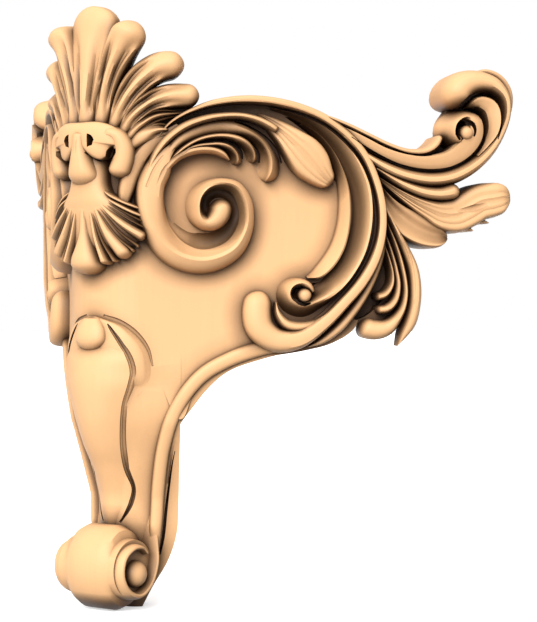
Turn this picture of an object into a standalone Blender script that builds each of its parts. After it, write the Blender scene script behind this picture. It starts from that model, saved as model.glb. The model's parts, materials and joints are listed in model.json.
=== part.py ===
"""Carved corner leg with two scrolled wings, cut from one block of light wood.

The part's frame stands in the inner corner, on top of the leg's square post. The right wing runs along +X
and turns its carved face to -Y. The left wing runs along +Y and is the right one mirrored, so a point is
given once, in wing millimetres: `along` the wing from the outer corner, `up` from the top of the post, and
`out` of the wing's plain ground towards the viewer.
"""
import math

import bmesh
import bpy
import numpy as np

MM = 0.001

# Driving dimensions, in millimetres
POST_SIDE = 56.0
CORNER_TO_FRAME = 38.0
WING_THICKNESS = 20.0
CORNER_RADIUS = 36.0
CORNER_TOP = 127.0
SOLE = -142.0
BACKING_TOP = -4.0
CARVING_ROOT = -5.0

# How finely the carving is cut into facets
TURN_PER_FACET = math.radians(38)
LONGEST_FACET = 45.0
CAP_STATIONS = (0.0, 0.78, 1.0)
FLAT_WITHIN = math.radians(3)
MERGED_WITHIN = 0.02

WOOD = (1.0, 0.665, 0.352, 1.0)
WOOD_ROUGHNESS = 0.5

# Cross-sections of the carved bands: (place across, from -1 at the right of its run to 1 at the left, height)
ROUND = ((-1, 0.4), (-0.5, 0.97), (0.5, 0.97), (1, 0.4))
FLAT = ((-1, 0.75), (-0.6, 1.0), (0.6, 1.0), (1, 0.75))
RIM_RIGHT = ((-1, 0.6), (-0.6, 1.0), (0.1, 0.5), (1, 0.12))
RIM_LEFT = ((-1, 0.12), (-0.1, 0.5), (0.6, 1.0), (1, 0.6))
LEAF = ((-1, 0.75), (-0.5, 1.0), (0.0, 0.8), (0.5, 1.0), (1, 0.75))
LOBE = ((-1, 0.45), (-0.65, 0.95), (0.0, 0.72), (0.65, 0.95), (1, 0.45))


def wing_place(along, up, out):
    """A point of the right wing's flat face."""
    return np.stack([along - CORNER_TO_FRAME, -CORNER_TO_FRAME - out, up], axis=-1)


def corner_place(girth, up, out):
    """A point of the carcass corner, whose girth runs round the rounding and on along the right wing."""
    quarter = CORNER_RADIUS * math.pi / 4
    girth, up, out = np.broadcast_arrays(girth, up, out)
    angle = np.clip(girth / CORNER_RADIUS, -math.pi / 4, math.pi / 4)
    reach = CORNER_RADIUS + out
    x = CORNER_RADIUS - reach * np.sin(math.pi / 4 - angle)
    y = CORNER_RADIUS - reach * np.cos(math.pi / 4 - angle)
    x = x + np.maximum(girth - quarter, 0)
    y = y + np.maximum(-girth - quarter, 0)
    return np.stack([x - CORNER_TO_FRAME, y - CORNER_TO_FRAME, up], axis=-1)


def smooth_line(rows):
    """Many points on a centripetal Catmull-Rom curve through the rows; width and height ride along."""
    rows = np.array(rows, float)
    ends = np.vstack([2 * rows[0] - rows[1], rows, 2 * rows[-1] - rows[-2]])
    knots = np.concatenate([[0], np.cumsum(np.linalg.norm(np.diff(ends[:, :2], axis=0), axis=1) ** 0.5)])
    line = []
    for i in range(1, len(ends) - 2):
        t0, t1, t2, t3 = knots[i - 1:i + 3]
        t = np.linspace(t1, t2, 24, endpoint=i == len(ends) - 3)[:, None]
        a = [(ends[j + 1] * (t - knots[j]) + ends[j] * (knots[j + 1] - t)) / (knots[j + 1] - knots[j])
             for j in (i - 1, i, i + 1)]
        b0 = (a[1] * (t - t0) + a[0] * (t2 - t)) / (t2 - t0)
        b1 = (a[2] * (t - t1) + a[1] * (t3 - t)) / (t3 - t1)
        line.append((b1 * (t - t1) + b0 * (t2 - t)) / (t2 - t1))
    return np.vstack(line)


def stations(line, start_cap, end_cap):
    """Distances along the line for its facets, closer where it turns, and inside its rounded ends."""
    steps = np.diff(line[:, :2], axis=0)
    lengths = np.linalg.norm(steps, axis=1)
    headings = np.unwrap(np.arctan2(steps[:, 1], steps[:, 0]))
    turns = np.abs(np.diff(headings, prepend=headings[0]))
    need = np.concatenate([[0], np.cumsum(turns / TURN_PER_FACET + lengths / LONGEST_FACET)])
    distance = np.concatenate([[0], np.cumsum(lengths)])
    count = max(2, math.ceil(need[-1]))
    at = np.interp(np.linspace(0, need[-1], count + 1), need, distance)
    total = distance[-1]
    caps = np.array(CAP_STATIONS)
    inner = at[(at > start_cap * 1.2) & (at < total - end_cap * 1.2)]
    head = start_cap * (1 - caps[::-1]) if start_cap else np.zeros(1)
    tail = total - end_cap * (1 - caps) if end_cap else np.array([total])
    at = np.concatenate([head, inner, tail])
    shrink = np.ones(len(at))
    if start_cap:
        shrink[:len(head)] = np.sqrt(1.01 - caps[::-1] ** 2)
    if end_cap:
        shrink[-len(tail):] = np.sqrt(1.01 - caps ** 2)
    return at, distance, np.minimum(shrink, 1)


def band(place, rows, section, other=None, root=CARVING_ROOT, caps=(0, 0)):
    """A carved band along a smooth line, as a closed grid: its modelled face, and its root in the block.

    Each row is along, up, width, height and, where the section changes, the share of the other section.
    """
    rows = [tuple(row) + (0,) * (5 - len(row)) for row in rows]
    line = smooth_line(rows)
    at, distance, shrink = stations(line, *caps)
    along, up, width, height, share = (np.interp(at, distance, line[:, i])[:, None] for i in range(5))
    run = np.gradient(line[:, :2], axis=0)
    run = np.stack([np.interp(at, distance, run[:, i]) for i in range(2)])
    run /= np.linalg.norm(run, axis=0)
    across, level = np.array(section, float).T
    other_level = np.array(other or section, float)[:, 1]
    half = 0.5 * width * shrink[:, None] * across
    out = height * (level * (1 - share) + other_level * share) * (0.3 + 0.7 * shrink[:, None])
    along = along - run[1][:, None] * half
    up = up + run[0][:, None] * half
    return place(along, up, out), place(along, up, np.full_like(out, root))


def closed_grid(name, top, under):
    """A closed body between two matching grids of points."""
    count, wide = top.shape[:2]
    points = np.concatenate([top.reshape(-1, 3), under.reshape(-1, 3)])
    shift = count * wide
    index = np.arange(shift).reshape(count, wide)
    quads = np.stack([index[:-1, :-1], index[1:, :-1], index[1:, 1:], index[:-1, 1:]], axis=-1).reshape(-1, 4)
    edge = np.concatenate([index[0], index[1:, -1], index[-1, -2::-1], index[-2:0:-1, 0]])
    following = np.roll(edge, -1)
    walls = np.stack([edge, following, following + shift, edge + shift], axis=-1)
    return body(name, points, [*quads.tolist(), *(quads[:, ::-1] + shift).tolist(), *walls.tolist()])


def loft(name, rings):
    """A closed body through rings that all have the same number of points."""
    rings = np.array(rings)
    count, wide = rings.shape[:2]
    index = np.arange(count * wide).reshape(count, wide)
    after = np.roll(index, -1, axis=1)
    sides = np.stack([index[:-1], after[:-1], after[1:], index[1:]], axis=-1).reshape(-1, 4)
    return body(name, rings.reshape(-1, 3), [*sides.tolist(), index[0, ::-1].tolist(), index[-1].tolist()])


def dome(name, place, along, up, radius, height, root=CARVING_ROOT):
    """A round button with a rolled edge, for the eye of a volute."""
    angles = np.linspace(0, 2 * math.pi, 9)[:-1]
    levels = ((1.0, root / height), (1.0, 0.7), (0.6, 1.0))
    return loft(name, [place(along + radius * share * np.cos(angles), up + radius * share * np.sin(angles),
                             np.full_like(angles, height * level)) for share, level in levels])


def prism(name, place, outline, low, high):
    """A flat outline with straight sides between two heights above its ground."""
    along, up = np.array(outline, float).T
    return loft(name, [place(along, up, np.full_like(up, out)) for out in (low, high)])


def body(name, points, faces):
    mesh = bpy.data.meshes.new(name)
    mesh.from_pydata((np.asarray(points) * MM).tolist(), [], faces)
    shape = bmesh.new()
    shape.from_mesh(mesh)
    bmesh.ops.recalc_face_normals(shape, faces=shape.faces)
    shape.to_mesh(mesh)
    shape.free()
    return bpy.data.objects.new(name, mesh)


def mirrored(name, source):
    """The same body on the other side of the diagonal plane, with X and Y changed over."""
    mesh = source.data.copy()
    shape = bmesh.new()
    shape.from_mesh(mesh)
    for corner in shape.verts:
        corner.co.xy = corner.co.yx
    bmesh.ops.reverse_faces(shape, faces=shape.faces)
    shape.to_mesh(mesh)
    shape.free()
    return bpy.data.objects.new(name, mesh)


def wing_blocks():
    """The wing's plain ground, the lower backing between its branches, and the eyes of its volutes."""
    ground = [(30, 0), (44, -16), (54, -38), (57, -38), (62, -27), (68.5, -19), (78, -12.3), (90, -7.6), (106, -4.8),
              (123, -2), (138, 2), (150, 10), (154, 24), (160, 38), (165, 56), (165, 76), (161, 92), (155, 105),
              (146, 116), (135, 123.5), (120, 128.5), (104, 131.5), (88, 131.5), (66, 128), (30, CORNER_TOP)]
    branch = [(136, 110), (150, 96), (168, 84), (196, 73), (220, 78), (200, 88), (218, 100), (229, 116),
              (228, 134), (215, 143), (205, 141), (203, 130), (198, 122), (196, 112), (188, 107), (168, 110),
              (150, 119), (138, 124)]
    curls = [(150, 90), (168, 80), (192, 62), (178, 62), (175, 54), (180, 42), (182, 28), (176, 12), (160, 8),
             (148, 14)]
    eyes = [(77.3, 74, 5.6, 9), (121, 28.3, 3.6, 8), (207, 115, 3.8, 20)]
    return [*(dome("volute eye", wing_place, *eye) for eye in eyes),
            prism("ground", wing_place, ground, -WING_THICKNESS, 0),
            prism("branch backing", wing_place, branch, -WING_THICKNESS, BACKING_TOP),
            prism("curl backing", wing_place, curls, -WING_THICKNESS, BACKING_TOP)]


def main_volute():
    """The big volute of the wing and the fingers that its band splits into."""
    spiral = [(52, 106.5, 12, 8), (42.6, 96, 15, 9), (38.9, 78, 16, 9), (46.5, 58.5, 18.5, 9, 0.3),
              (67.5, 50, 20, 9, 0.8), (84.2, 57, 15, 9, 1), (89.2, 70.5, 12.5, 9, 1), (85, 82, 11, 9, 1),
              (75.8, 85.6, 10, 9, 1), (67.4, 82.4, 10, 9, 1), (64.9, 76, 9, 8.5, 1), (67, 69.5, 8, 8, 1),
              (73, 67, 6, 7, 1)]
    fingers = [
        [(42, 92, 6, 9), (49.4, 106.1, 5, 10), (65.3, 118.3, 5, 10.5), (82, 122.8, 5, 10.5), (97, 120.8, 5.5, 10),
         (107, 115.6, 3.5, 8)],
        [(47, 98, 5, 9), (60, 107.8, 5.5, 10), (75, 112, 6, 10.5), (88, 109.8, 7.5, 10.5), (95.6, 104, 9.5, 10),
         (98.5, 96, 10.5, 9), (98, 86.5, 9, 7)],
        [(48, 96, 5, 9), (65.3, 110, 5.5, 10), (76, 111.8, 6, 10.5), (86, 109.5, 7.5, 10.5), (91.2, 103, 8, 9.5),
         (91, 95.5, 7, 8)],
        [(50, 96, 5, 9), (60, 104.6, 4.5, 9.5), (70, 107, 5, 10), (78, 105.8, 6, 10), (82.5, 101, 7.5, 9),
         (82.5, 95, 6.5, 7.5)],
    ]
    outer, *inner = fingers
    return [band(wing_place, spiral, FLAT, RIM_RIGHT), band(wing_place, outer, ROUND, caps=(0, 2)),
            *(band(wing_place, rows, RIM_LEFT, caps=(0, 3.5)) for rows in inner)]


def big_scroll():
    """The C-scroll round the wing's outer side: rim, cove, inner lip, its two volutes and the long leaf."""
    back = -WING_THICKNESS - 1
    rim = [(60, 125.5, 3, 7), (78.6, 130, 3.4, 9), (92, 131.2, 3.6, 10), (105.3, 130.4, 3.8, 10),
           (118.8, 127.5, 4, 10), (132.2, 122.4, 4, 10), (144.1, 113, 4.2, 10), (152.8, 102.5, 4.2, 10),
           (158.2, 90, 4.4, 10), (161.8, 76, 4.6, 10), (161.8, 61, 4.8, 10), (158.3, 48, 5.2, 10),
           (151.7, 35.5, 6, 10), (143, 24, 7, 9.5), (132, 13, 8.5, 9), (119, 4.5, 11, 8.5), (106.5, 4, 14, 8.5),
           (98.5, 10, 16, 8.5), (96.5, 19, 16, 8.5), (98.5, 30, 15, 8)]
    cove = [(98, 126.5, 4, 7), (119.1, 122.3, 6.5, 10), (131.5, 116, 8, 11), (141.8, 107, 9, 11),
            (149.3, 96.5, 9, 11), (153.3, 86, 8.5, 11), (154.4, 76, 8.5, 11), (153.4, 63, 9, 11),
            (150, 51.5, 9.5, 11), (143.5, 40, 9.5, 10.5), (134.5, 29.5, 9, 10), (125, 20.5, 8.5, 9.5, 0.7),
            (117, 19.3, 8, 9, 1), (111.5, 24.5, 7.5, 9, 1), (113.3, 32, 6.5, 8.5, 1), (119, 34.5, 5, 8, 1)]
    lip = [(120.5, 38, 1.5, 5), (129.5, 41, 5, 6), (137, 48, 5.5, 6.5), (141.4, 58, 5.5, 7), (143.7, 69, 5.5, 7),
           (144.2, 79, 5.5, 7), (143, 89, 5.5, 7), (139, 99.5, 5.5, 7), (133, 108, 5, 7), (125, 114.5, 3, 6)]
    crescent = [(106, 22, 2, 7), (107.5, 14.5, 4.5, 7.5), (113.5, 10, 5, 7.5), (121.5, 11, 4.5, 7),
                (130.5, 17, 2, 6)]
    leaf = [(99, 122.5, 3, 8), (110.7, 113.5, 13, 9), (116.5, 108, 18, 9), (121.6, 103, 21.5, 9),
            (126, 97.5, 21.5, 8.5), (131, 91.5, 17, 8), (136, 86.5, 9, 7)]
    return [band(wing_place, rim, ROUND, root=back, caps=(0, 6)), band(wing_place, cove, RIM_LEFT, ROUND),
            band(wing_place, lip, RIM_LEFT), band(wing_place, crescent, RIM_RIGHT),
            band(wing_place, leaf, LEAF, caps=(0, 3))]


def end_scroll():
    """The branch that leaves the C-scroll at the top and rolls up into the wing's end scroll."""
    back = -WING_THICKNESS - 1
    top = [(133, 123.2, 3, 9), (146, 117.4, 3.6, 10), (156.8, 112, 4, 10.5), (167.6, 107.2, 4.4, 11),
           (178.5, 104.4, 5, 11.5), (189, 105, 5.6, 12), (196.5, 110, 5.5, 12)]
    cove = [(143, 117, 4, 10), (156.4, 109.6, 5.5, 11), (170, 102.8, 6.5, 12), (184, 98.8, 7.5, 13),
            (198, 99.5, 8.5, 14, 0.3), (208.5, 103, 9.5, 16, 0.6), (215.6, 110.5, 9, 18, 0.9),
            (215, 120.5, 9, 20, 1), (207.5, 124.5, 9.5, 20, 1), (200.5, 119.5, 9, 20, 1), (201.5, 112, 6, 19, 1)]
    outer = [(148, 110.5, 3, 8), (161.6, 101, 5.5, 10.5), (172.5, 95.3, 8, 12), (183.4, 91.6, 9, 13),
             (194.3, 90.6, 9.5, 14), (206.3, 92.8, 9.5, 14.5), (217.3, 98.3, 9.5, 15), (226.4, 107.5, 9, 15.5),
             (231.2, 120, 9, 15.5), (230.2, 132.5, 10, 16), (224, 141, 11, 16.5), (214, 143.7, 12, 16.5),
             (207, 140, 12, 16.5), (204, 132, 9, 16)]
    crescent = [(210.5, 128.5, 3, 15), (216, 130.8, 5, 15), (221.6, 126.5, 5.5, 14.5), (223, 117.5, 4.5, 14),
                (220.5, 109, 2, 14)]
    return [band(wing_place, top, ROUND, root=back, caps=(0, 2)), band(wing_place, cove, RIM_RIGHT, RIM_RIGHT),
            band(wing_place, outer, ROUND, root=back, caps=(0, 5)),
            band(wing_place, crescent, RIM_LEFT)]


def branch_leaves():
    """The three leaves under the end scroll, and the curled leaf tips that hang outside the C-scroll."""
    back = -WING_THICKNESS - 1
    upper = [(160, 97.5, 3, 9), (173.1, 88.8, 5, 9.5), (184, 84, 7, 10), (194.5, 82.6, 8.8, 10), (204, 85, 8, 9)]
    broad = [(160.7, 94.3, 3, 7), (172.5, 83.4, 5, 8), (183.2, 76.6, 7.5, 9), (193.9, 72.6, 11.5, 9),
             (203, 70.6, 18, 8.5), (212.6, 75.3, 21.5, 8), (221.7, 79, 18, 8), (235, 80.5, 13, 7)]
    tips = [[(203, 67, 6, 6), (212, 63.4, 5, 5)], [(210, 70, 7, 6), (220.5, 66.5, 5, 5)]]
    lower = [(162.3, 89, 2.5, 6), (168.2, 75.8, 7, 7), (175.2, 66.8, 13, 7.5), (183.3, 61.7, 14.5, 7.5),
             (192, 58.6, 11, 7), (198.5, 58.5, 8, 6)]
    curls = [
        [(165, 75, 2.5, 7), (168.6, 64.7, 3, 8), (173.9, 55.7, 3.6, 8), (178.2, 46.1, 4, 8), (181.1, 36.6, 5, 8),
         (181.8, 28, 6, 8), (180, 19.6, 7, 8), (175.8, 11.7, 6.8, 7.5), (171, 2, 2.5, 6)],
        [(164.5, 73, 2, 7), (166.7, 65.6, 2.5, 7.5), (171.2, 55.7, 2.7, 7.5), (174.4, 45.6, 2.9, 7.5),
         (175.6, 36, 3.4, 7.5), (174.6, 27, 4.6, 7.5), (171.2, 18.2, 6.6, 7.5), (165.5, 12.8, 8.2, 7.5),
         (159, 10.6, 8.8, 7), (149.5, 13.5, 6, 6)],
        [(164.5, 62, 2, 6), (169, 51, 2.4, 6.5), (171.6, 40.2, 2.8, 6.5), (171.6, 30, 3.6, 6.5),
         (168.4, 23.2, 4.2, 6), (161, 21.2, 3, 5)],
    ]
    bands = [band(wing_place, upper, RIM_RIGHT, root=back, caps=(0, 4)),
             band(wing_place, broad, LEAF, root=back, caps=(0, 5)),
             band(wing_place, lower, LEAF, root=back, caps=(0, 4))]
    bands += [band(wing_place, rows, ROUND, root=back, caps=(0, 1.5)) for rows in tips]
    bands += [band(wing_place, rows, ROUND, root=back if number < 2 else CARVING_ROOT - 3, caps=(0, 1.5))
              for number, rows in enumerate(curls)]
    return bands


def palmette_side():
    """The right half of the palmette's lobes; the lobes lean out towards their rolled tips."""
    back = -13.0
    lobes = [
        ([(7.5, 112, 6, 8), (8.2, 121, 7.5, 8), (9.9, 134, 9.5, 9), (12.9, 146.5, 12.5, 11), (17, 158, 16.5, 13),
          (23.5, 172, 18, 14)], 9),
        ([(12.5, 112, 4.5, 8), (14.5, 118.4, 6, 8), (17.8, 127.2, 9.5, 9), (22.4, 136, 13, 10.5),
          (28.7, 143.7, 16, 12), (37, 148.6, 16.5, 13.5), (49.5, 149.3, 15, 14)], 7),
        ([(16.5, 110, 3.5, 8), (18.6, 114.2, 5, 8), (23, 122, 8.5, 9), (30, 128.7, 11.5, 10.5),
          (40, 132.3, 13, 12), (57.5, 132.5, 12.5, 13)], 6.5),
        ([(19, 108, 4, 8), (21.5, 111.5, 4.5, 8), (27, 118, 6.5, 8.5), (34.5, 122.2, 7, 9), (49, 124, 3, 9)], 2),
        ([(19, 105, 5, 8), (23, 107.5, 6, 8), (28, 112, 8.5, 8), (35, 114.6, 9, 8), (41.5, 114.5, 7, 8)], 3),
    ]
    return [band(corner_place, rows, LOBE, root=back, caps=(0, cap)) for rows, cap in lobes]


def centre_lobe():
    rows = [(0, 112, 8, 8), (0, 131, 9.5, 10), (0, 153, 14.5, 13), (0, 163, 19.5, 14.5),
            (0, 172, 24.5, 15), (0, 180, 25, 15)]
    return band(corner_place, rows, LOBE, root=-13.0, caps=(0, 9))


def cartouche_side():
    """The right half of the cartouche: its cheek and the arm that hooks round it."""
    cheek = [(0, 110.5, 18, 13), (6, 110.2, 19, 13), (13.5, 109.5, 15, 12)]
    arm = [(10, 114.5, 8, 12), (16, 112, 8.5, 12), (18.3, 104.5, 8.5, 12), (17, 96.5, 9, 12), (15, 87.5, 8.5, 11)]
    return [band(corner_place, cheek, ROUND, caps=(0, 5)), band(corner_place, arm, ROUND, caps=(2, 4))]


def cartouche_centre():
    """The drop on the middle of the cartouche, and the neck that leads down to the fan."""
    drop = [(0, 106, 9, 13), (0, 97, 13, 14), (0, 85.5, 15, 12)]
    neck = [(0, 104, 26, 5), (0, 92, 23, 7), (0, 83, 22, 7), (0, 75, 32, 6), (0, 62, 44, 5), (0, 46, 34, 5)]
    middle = [(0, 84, 10, 8), (0, 70, 8.5, 9), (0, 58, 9.5, 10), (0, 48, 15, 13), (0, 38.5, 17, 13)]
    return [band(corner_place, drop, ROUND, caps=(0, 6)), band(corner_place, neck, ROUND, caps=(0, 5)),
            band(corner_place, middle, ROUND, caps=(0, 5))]


def fan_side():
    """The right half of the flutes that spread below the neck."""
    flutes = [
        ([(4, 80, 3.5, 8), (5.6, 71.9, 3.2, 9), (7.8, 58, 3.8, 10), (12.3, 43, 4.4, 10)], 2),
        ([(5, 80, 4, 8), (8.5, 70, 4.6, 9), (13.5, 59.5, 6.5, 10), (22.8, 46.5, 8.5, 11)], 4),
        ([(6, 81, 4, 8), (11, 73, 4.6, 9), (18.5, 65.6, 6, 10), (30.5, 57, 7.5, 10)], 3.5),
        ([(7, 83, 4, 8), (11, 78.5, 4, 8), (18, 73.2, 5, 9), (29, 67.5, 5, 9)], 2),
    ]
    return [band(corner_place, rows, ROUND, caps=(0, cap)) for rows, cap in flutes]


def leg_ring(up, recess, radius, back=POST_SIDE, points=7):
    """One level of the leg: a square whose outer corner is rounded, its front faces set back by the recess."""
    angles = np.linspace(math.pi * 1.5, math.pi, points)
    x = np.concatenate([[back], recess + radius + radius * np.cos(angles), [recess, back]])
    y = np.concatenate([[recess], recess + radius + radius * np.sin(angles), [back, back]])
    return np.stack([x - CORNER_TO_FRAME, y - CORNER_TO_FRAME, np.full_like(x, up)], axis=-1)


def leg():
    """The leg's post from the bearing face down to the heel."""
    levels = [(0, 0, 36), (-22, 0, 33), (-38, 1.5, 28), (-60, 8.5, 22), (-82, 14, 17), (-97, 14, 17)]
    rings = [leg_ring(*level) for level in levels]
    heel = [(-106, 16, 16, 54), (-118, 20, 14, 50), (-130, 22, 12, 43), (SOLE, 24, 10, 37)]
    rings += [leg_ring(up, recess, radius, back) for up, recess, radius, back in heel]
    return loft("leg", rings)


def corner_block():
    """The carcass corner above the post: two walls that meet in the rounded outer corner."""
    angles = np.linspace(-math.pi / 2, -math.pi, 9)
    outer = [(CORNER_RADIUS * (1 + math.cos(a)), CORNER_RADIUS * (1 + math.sin(a))) for a in angles]
    outline = [(POST_SIDE, 0), *outer, (0, POST_SIDE), (WING_THICKNESS, POST_SIDE),
               (WING_THICKNESS, WING_THICKNESS), (POST_SIDE, WING_THICKNESS)]
    x, y = np.array(outline).T - CORNER_TO_FRAME
    return loft("corner block", [np.stack([x, y, np.full_like(x, up)], axis=-1) for up in (-2.0, CORNER_TOP)])


def diagonal_ring(up, half_width, front, depth, points=7):
    """A level of the swelling front of the leg: an arc across the diagonal, closed behind."""
    side = np.linspace(-1, 1, points)
    reach = front - depth * side ** 2
    across = half_width * side
    reach = np.concatenate([reach, [-45, -45]])
    across = np.concatenate([across, [half_width, -half_width]])
    x = (across - reach) / math.sqrt(2)
    y = (-across - reach) / math.sqrt(2)
    return np.stack([x - CORNER_TO_FRAME, y - CORNER_TO_FRAME, np.full_like(x, up)], axis=-1)


def knee():
    """The knee's pad, swelling over the front of the leg and dying into the ankle."""
    levels = [(13, 8, -9.5, 1.5), (9, 14, -9, 4.5), (2, 18, -8.3, 7), (-6, 22.5, -7, 10), (-13, 23.4, -6.6, 11.2),
              (-20, 21.2, -6.2, 10.5), (-30, 15.9, -6.9, 9), (-41, 13, -8.8, 8.4), (-54, 11, -13.4, 7),
              (-65, 10.3, -19.1, 6.6), (-79, 12, -25, 7.6), (-86, 9.6, -26, 5), (-93, 4.5, -26, 2),
              (-100, 2, -26.5, 1)]
    return loft("knee pad", [diagonal_ring(*level) for level in levels])


def cheeks():
    """The raised shoulder behind the knee's pad, with an arched upper edge, sinking into the leg below."""
    rows = [(0, 15.6, 8, 4), (0, 12.5, 30, 4.5), (0, 7, 47, 4.5), (0, -1, 60, 4), (0, -10, 65, 3.5),
            (0, -22, 62, 1.5), (0, -42, 54, -7)]
    return band(corner_place, rows, FLAT, root=-8)


def tongue():
    rows = [(0, 14, 12, 10), (0, 6, 19, 11), (0, -3, 17, 11)]
    return band(corner_place, rows, ROUND, root=-8, caps=(0, 6))


def foot():
    """The rolled foot: a barrel across the diagonal with a disc at each end."""
    half = [(26, 8, 8.5), (24, 11, 12), (21, 14.5, 15.5), (15.5, 15.5, 16.4), (14, 16, 20.5), (9, 18.5, 22.8)]
    profile = [(-across, *radii) for across, *radii in half] + half[::-1]
    middle, axis_back = SOLE + 23.5, -23.0
    rings = []
    for across, deep, high in profile:
        angles = np.linspace(0, 2 * math.pi, 17)[:-1]
        reach = axis_back + deep * np.cos(angles)
        up = np.maximum(middle + high * np.sin(angles), SOLE)
        x = (across - reach) / math.sqrt(2) - CORNER_TO_FRAME
        y = (-across - reach) / math.sqrt(2) - CORNER_TO_FRAME
        rings.append(np.stack([x, y, up], axis=-1))
    return loft("foot roll", rings)


def leg_recess(up):
    """How far the leg's front faces lie behind the wing's ground at each level."""
    return np.interp(-up, [10, 41, 60, 82, 97, 130], [0, 3.5, 8.5, 14, 14, 22])


def leg_place(along, up, out):
    """A point on the leg's right front face, which falls back from the wing's ground."""
    fade = np.interp(along, [50, 75], [1, 0])
    return wing_place(along, up, out - leg_recess(up) * fade)


def arch_bead():
    """The bead that follows the arch of the wing, runs down the leg and curls into the foot's volute."""
    rows = [(118, 2, 6, 3), (98, -1, 8, 3.5), (82, -6.5, 8, 3.5), (68.5, -14, 8, 3.5), (59, -24, 8, 3.5),
            (51.5, -37, 8, 3.5), (47, -54, 8, 3.5), (45, -72, 8, 3.5), (43.5, -92, 7.5, 3.5), (41, -108, 7, 3)]
    return band(leg_place, rows, ROUND, root=-6)


def join(bodies, carcass):
    """Unites the carved bodies with the carcass and trims everything flush behind."""
    operands = bpy.data.collections.new("united bodies")
    cutters = bpy.data.collections.new("trimming blocks")
    for collection in (operands, cutters):
        bpy.context.scene.collection.children.link(collection)
        collection.hide_render = True
    for item in bodies:
        operands.objects.link(item)
    inner = WING_THICKNESS - CORNER_TO_FRAME
    post_face = POST_SIDE - CORNER_TO_FRAME
    for name, low, high in (("inside corner", (inner, inner, 0), (400, 400, 300)),
                            ("behind right wing", (post_face, inner, -300), (400, 400, 300)),
                            ("behind left wing", (inner, post_face, -300), (400, 400, 300)),
                            ("below sole", (-200, -200, -300), (200, 200, SOLE))):
        corners = [[(low, high)[i][0], (low, high)[j][1], (low, high)[k][2]]
                   for k in (0, 1) for i, j in ((0, 0), (1, 0), (1, 1), (0, 1))]
        cutters.objects.link(loft(name, [corners[:4], corners[4:]]))
    for item in [*operands.objects, *cutters.objects]:
        item.hide_render = True
        item.display_type = "WIRE"
    for operation, collection in (("UNION", operands), ("DIFFERENCE", cutters)):
        modifier = carcass.modifiers.new(operation.lower(), "BOOLEAN")
        modifier.operation = operation
        modifier.operand_type = "COLLECTION"
        modifier.collection = collection
        modifier.solver = "MANIFOLD"
    settle(carcass)
    for item in [*operands.objects, *cutters.objects]:
        bpy.data.objects.remove(item, do_unlink=True)
    for collection in (operands, cutters):
        bpy.data.collections.remove(collection)


def shells(shape):
    """The separate closed surfaces of a mesh, as lists of corners."""
    unseen = set(shape.verts)
    found = []
    while unseen:
        queue = [unseen.pop()]
        shell = []
        while queue:
            corner = queue.pop()
            shell.append(corner)
            for edge in corner.link_edges:
                neighbour = edge.other_vert(corner)
                if neighbour in unseen:
                    unseen.discard(neighbour)
                    queue.append(neighbour)
        found.append(shell)
    return found


def settle(carved):
    """Fixes the united mesh: sealed pockets inside the wood go, and flat areas become single faces."""
    bpy.context.view_layer.update()
    evaluated = carved.evaluated_get(bpy.context.evaluated_depsgraph_get())
    mesh = bpy.data.meshes.new_from_object(evaluated)
    carved.modifiers.clear()
    carved.data = mesh
    shape = bmesh.new()
    shape.from_mesh(mesh)
    pockets = sorted(shells(shape), key=len)[:-1]
    bmesh.ops.delete(shape, geom=[corner for shell in pockets for corner in shell], context="VERTS")
    bmesh.ops.remove_doubles(shape, verts=shape.verts, dist=MERGED_WITHIN * MM)
    bmesh.ops.dissolve_limit(shape, angle_limit=FLAT_WITHIN, verts=shape.verts, edges=shape.edges)
    bmesh.ops.triangulate(shape, faces=shape.faces)
    shape.to_mesh(mesh)
    shape.free()
    mesh.shade_flat()


def light_wood():
    material = bpy.data.materials.new("light_wood")
    material.use_nodes = True
    shader = material.node_tree.nodes["Principled BSDF"]
    shader.inputs["Base Color"].default_value = WOOD
    shader.inputs["Roughness"].default_value = WOOD_ROUGHNESS
    shader.inputs["Metallic"].default_value = 0.0
    return material


def build():
    for item in list(bpy.data.objects):
        bpy.data.objects.remove(item, do_unlink=True)
    side = wing_blocks()
    side += [closed_grid("band", *grids) for group in
             (main_volute(), big_scroll(), end_scroll(), branch_leaves(), palmette_side(), cartouche_side(),
              fan_side(), [arch_bead()]) for grids in group]
    middle = [closed_grid("middle band", *grids) for grids in
              [centre_lobe(), *cartouche_centre(), cheeks(), tongue()]]
    bodies = [*side, *[mirrored(item.name + " left", item) for item in side], *middle, knee(), foot(),
              corner_block()]
    carved = leg()
    carved.name = "carved_bracket_leg"
    bpy.context.scene.collection.objects.link(carved)
    carved.data.materials.append(light_wood())
    join(bodies, carved)


build()
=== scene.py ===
import json
import math

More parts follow.
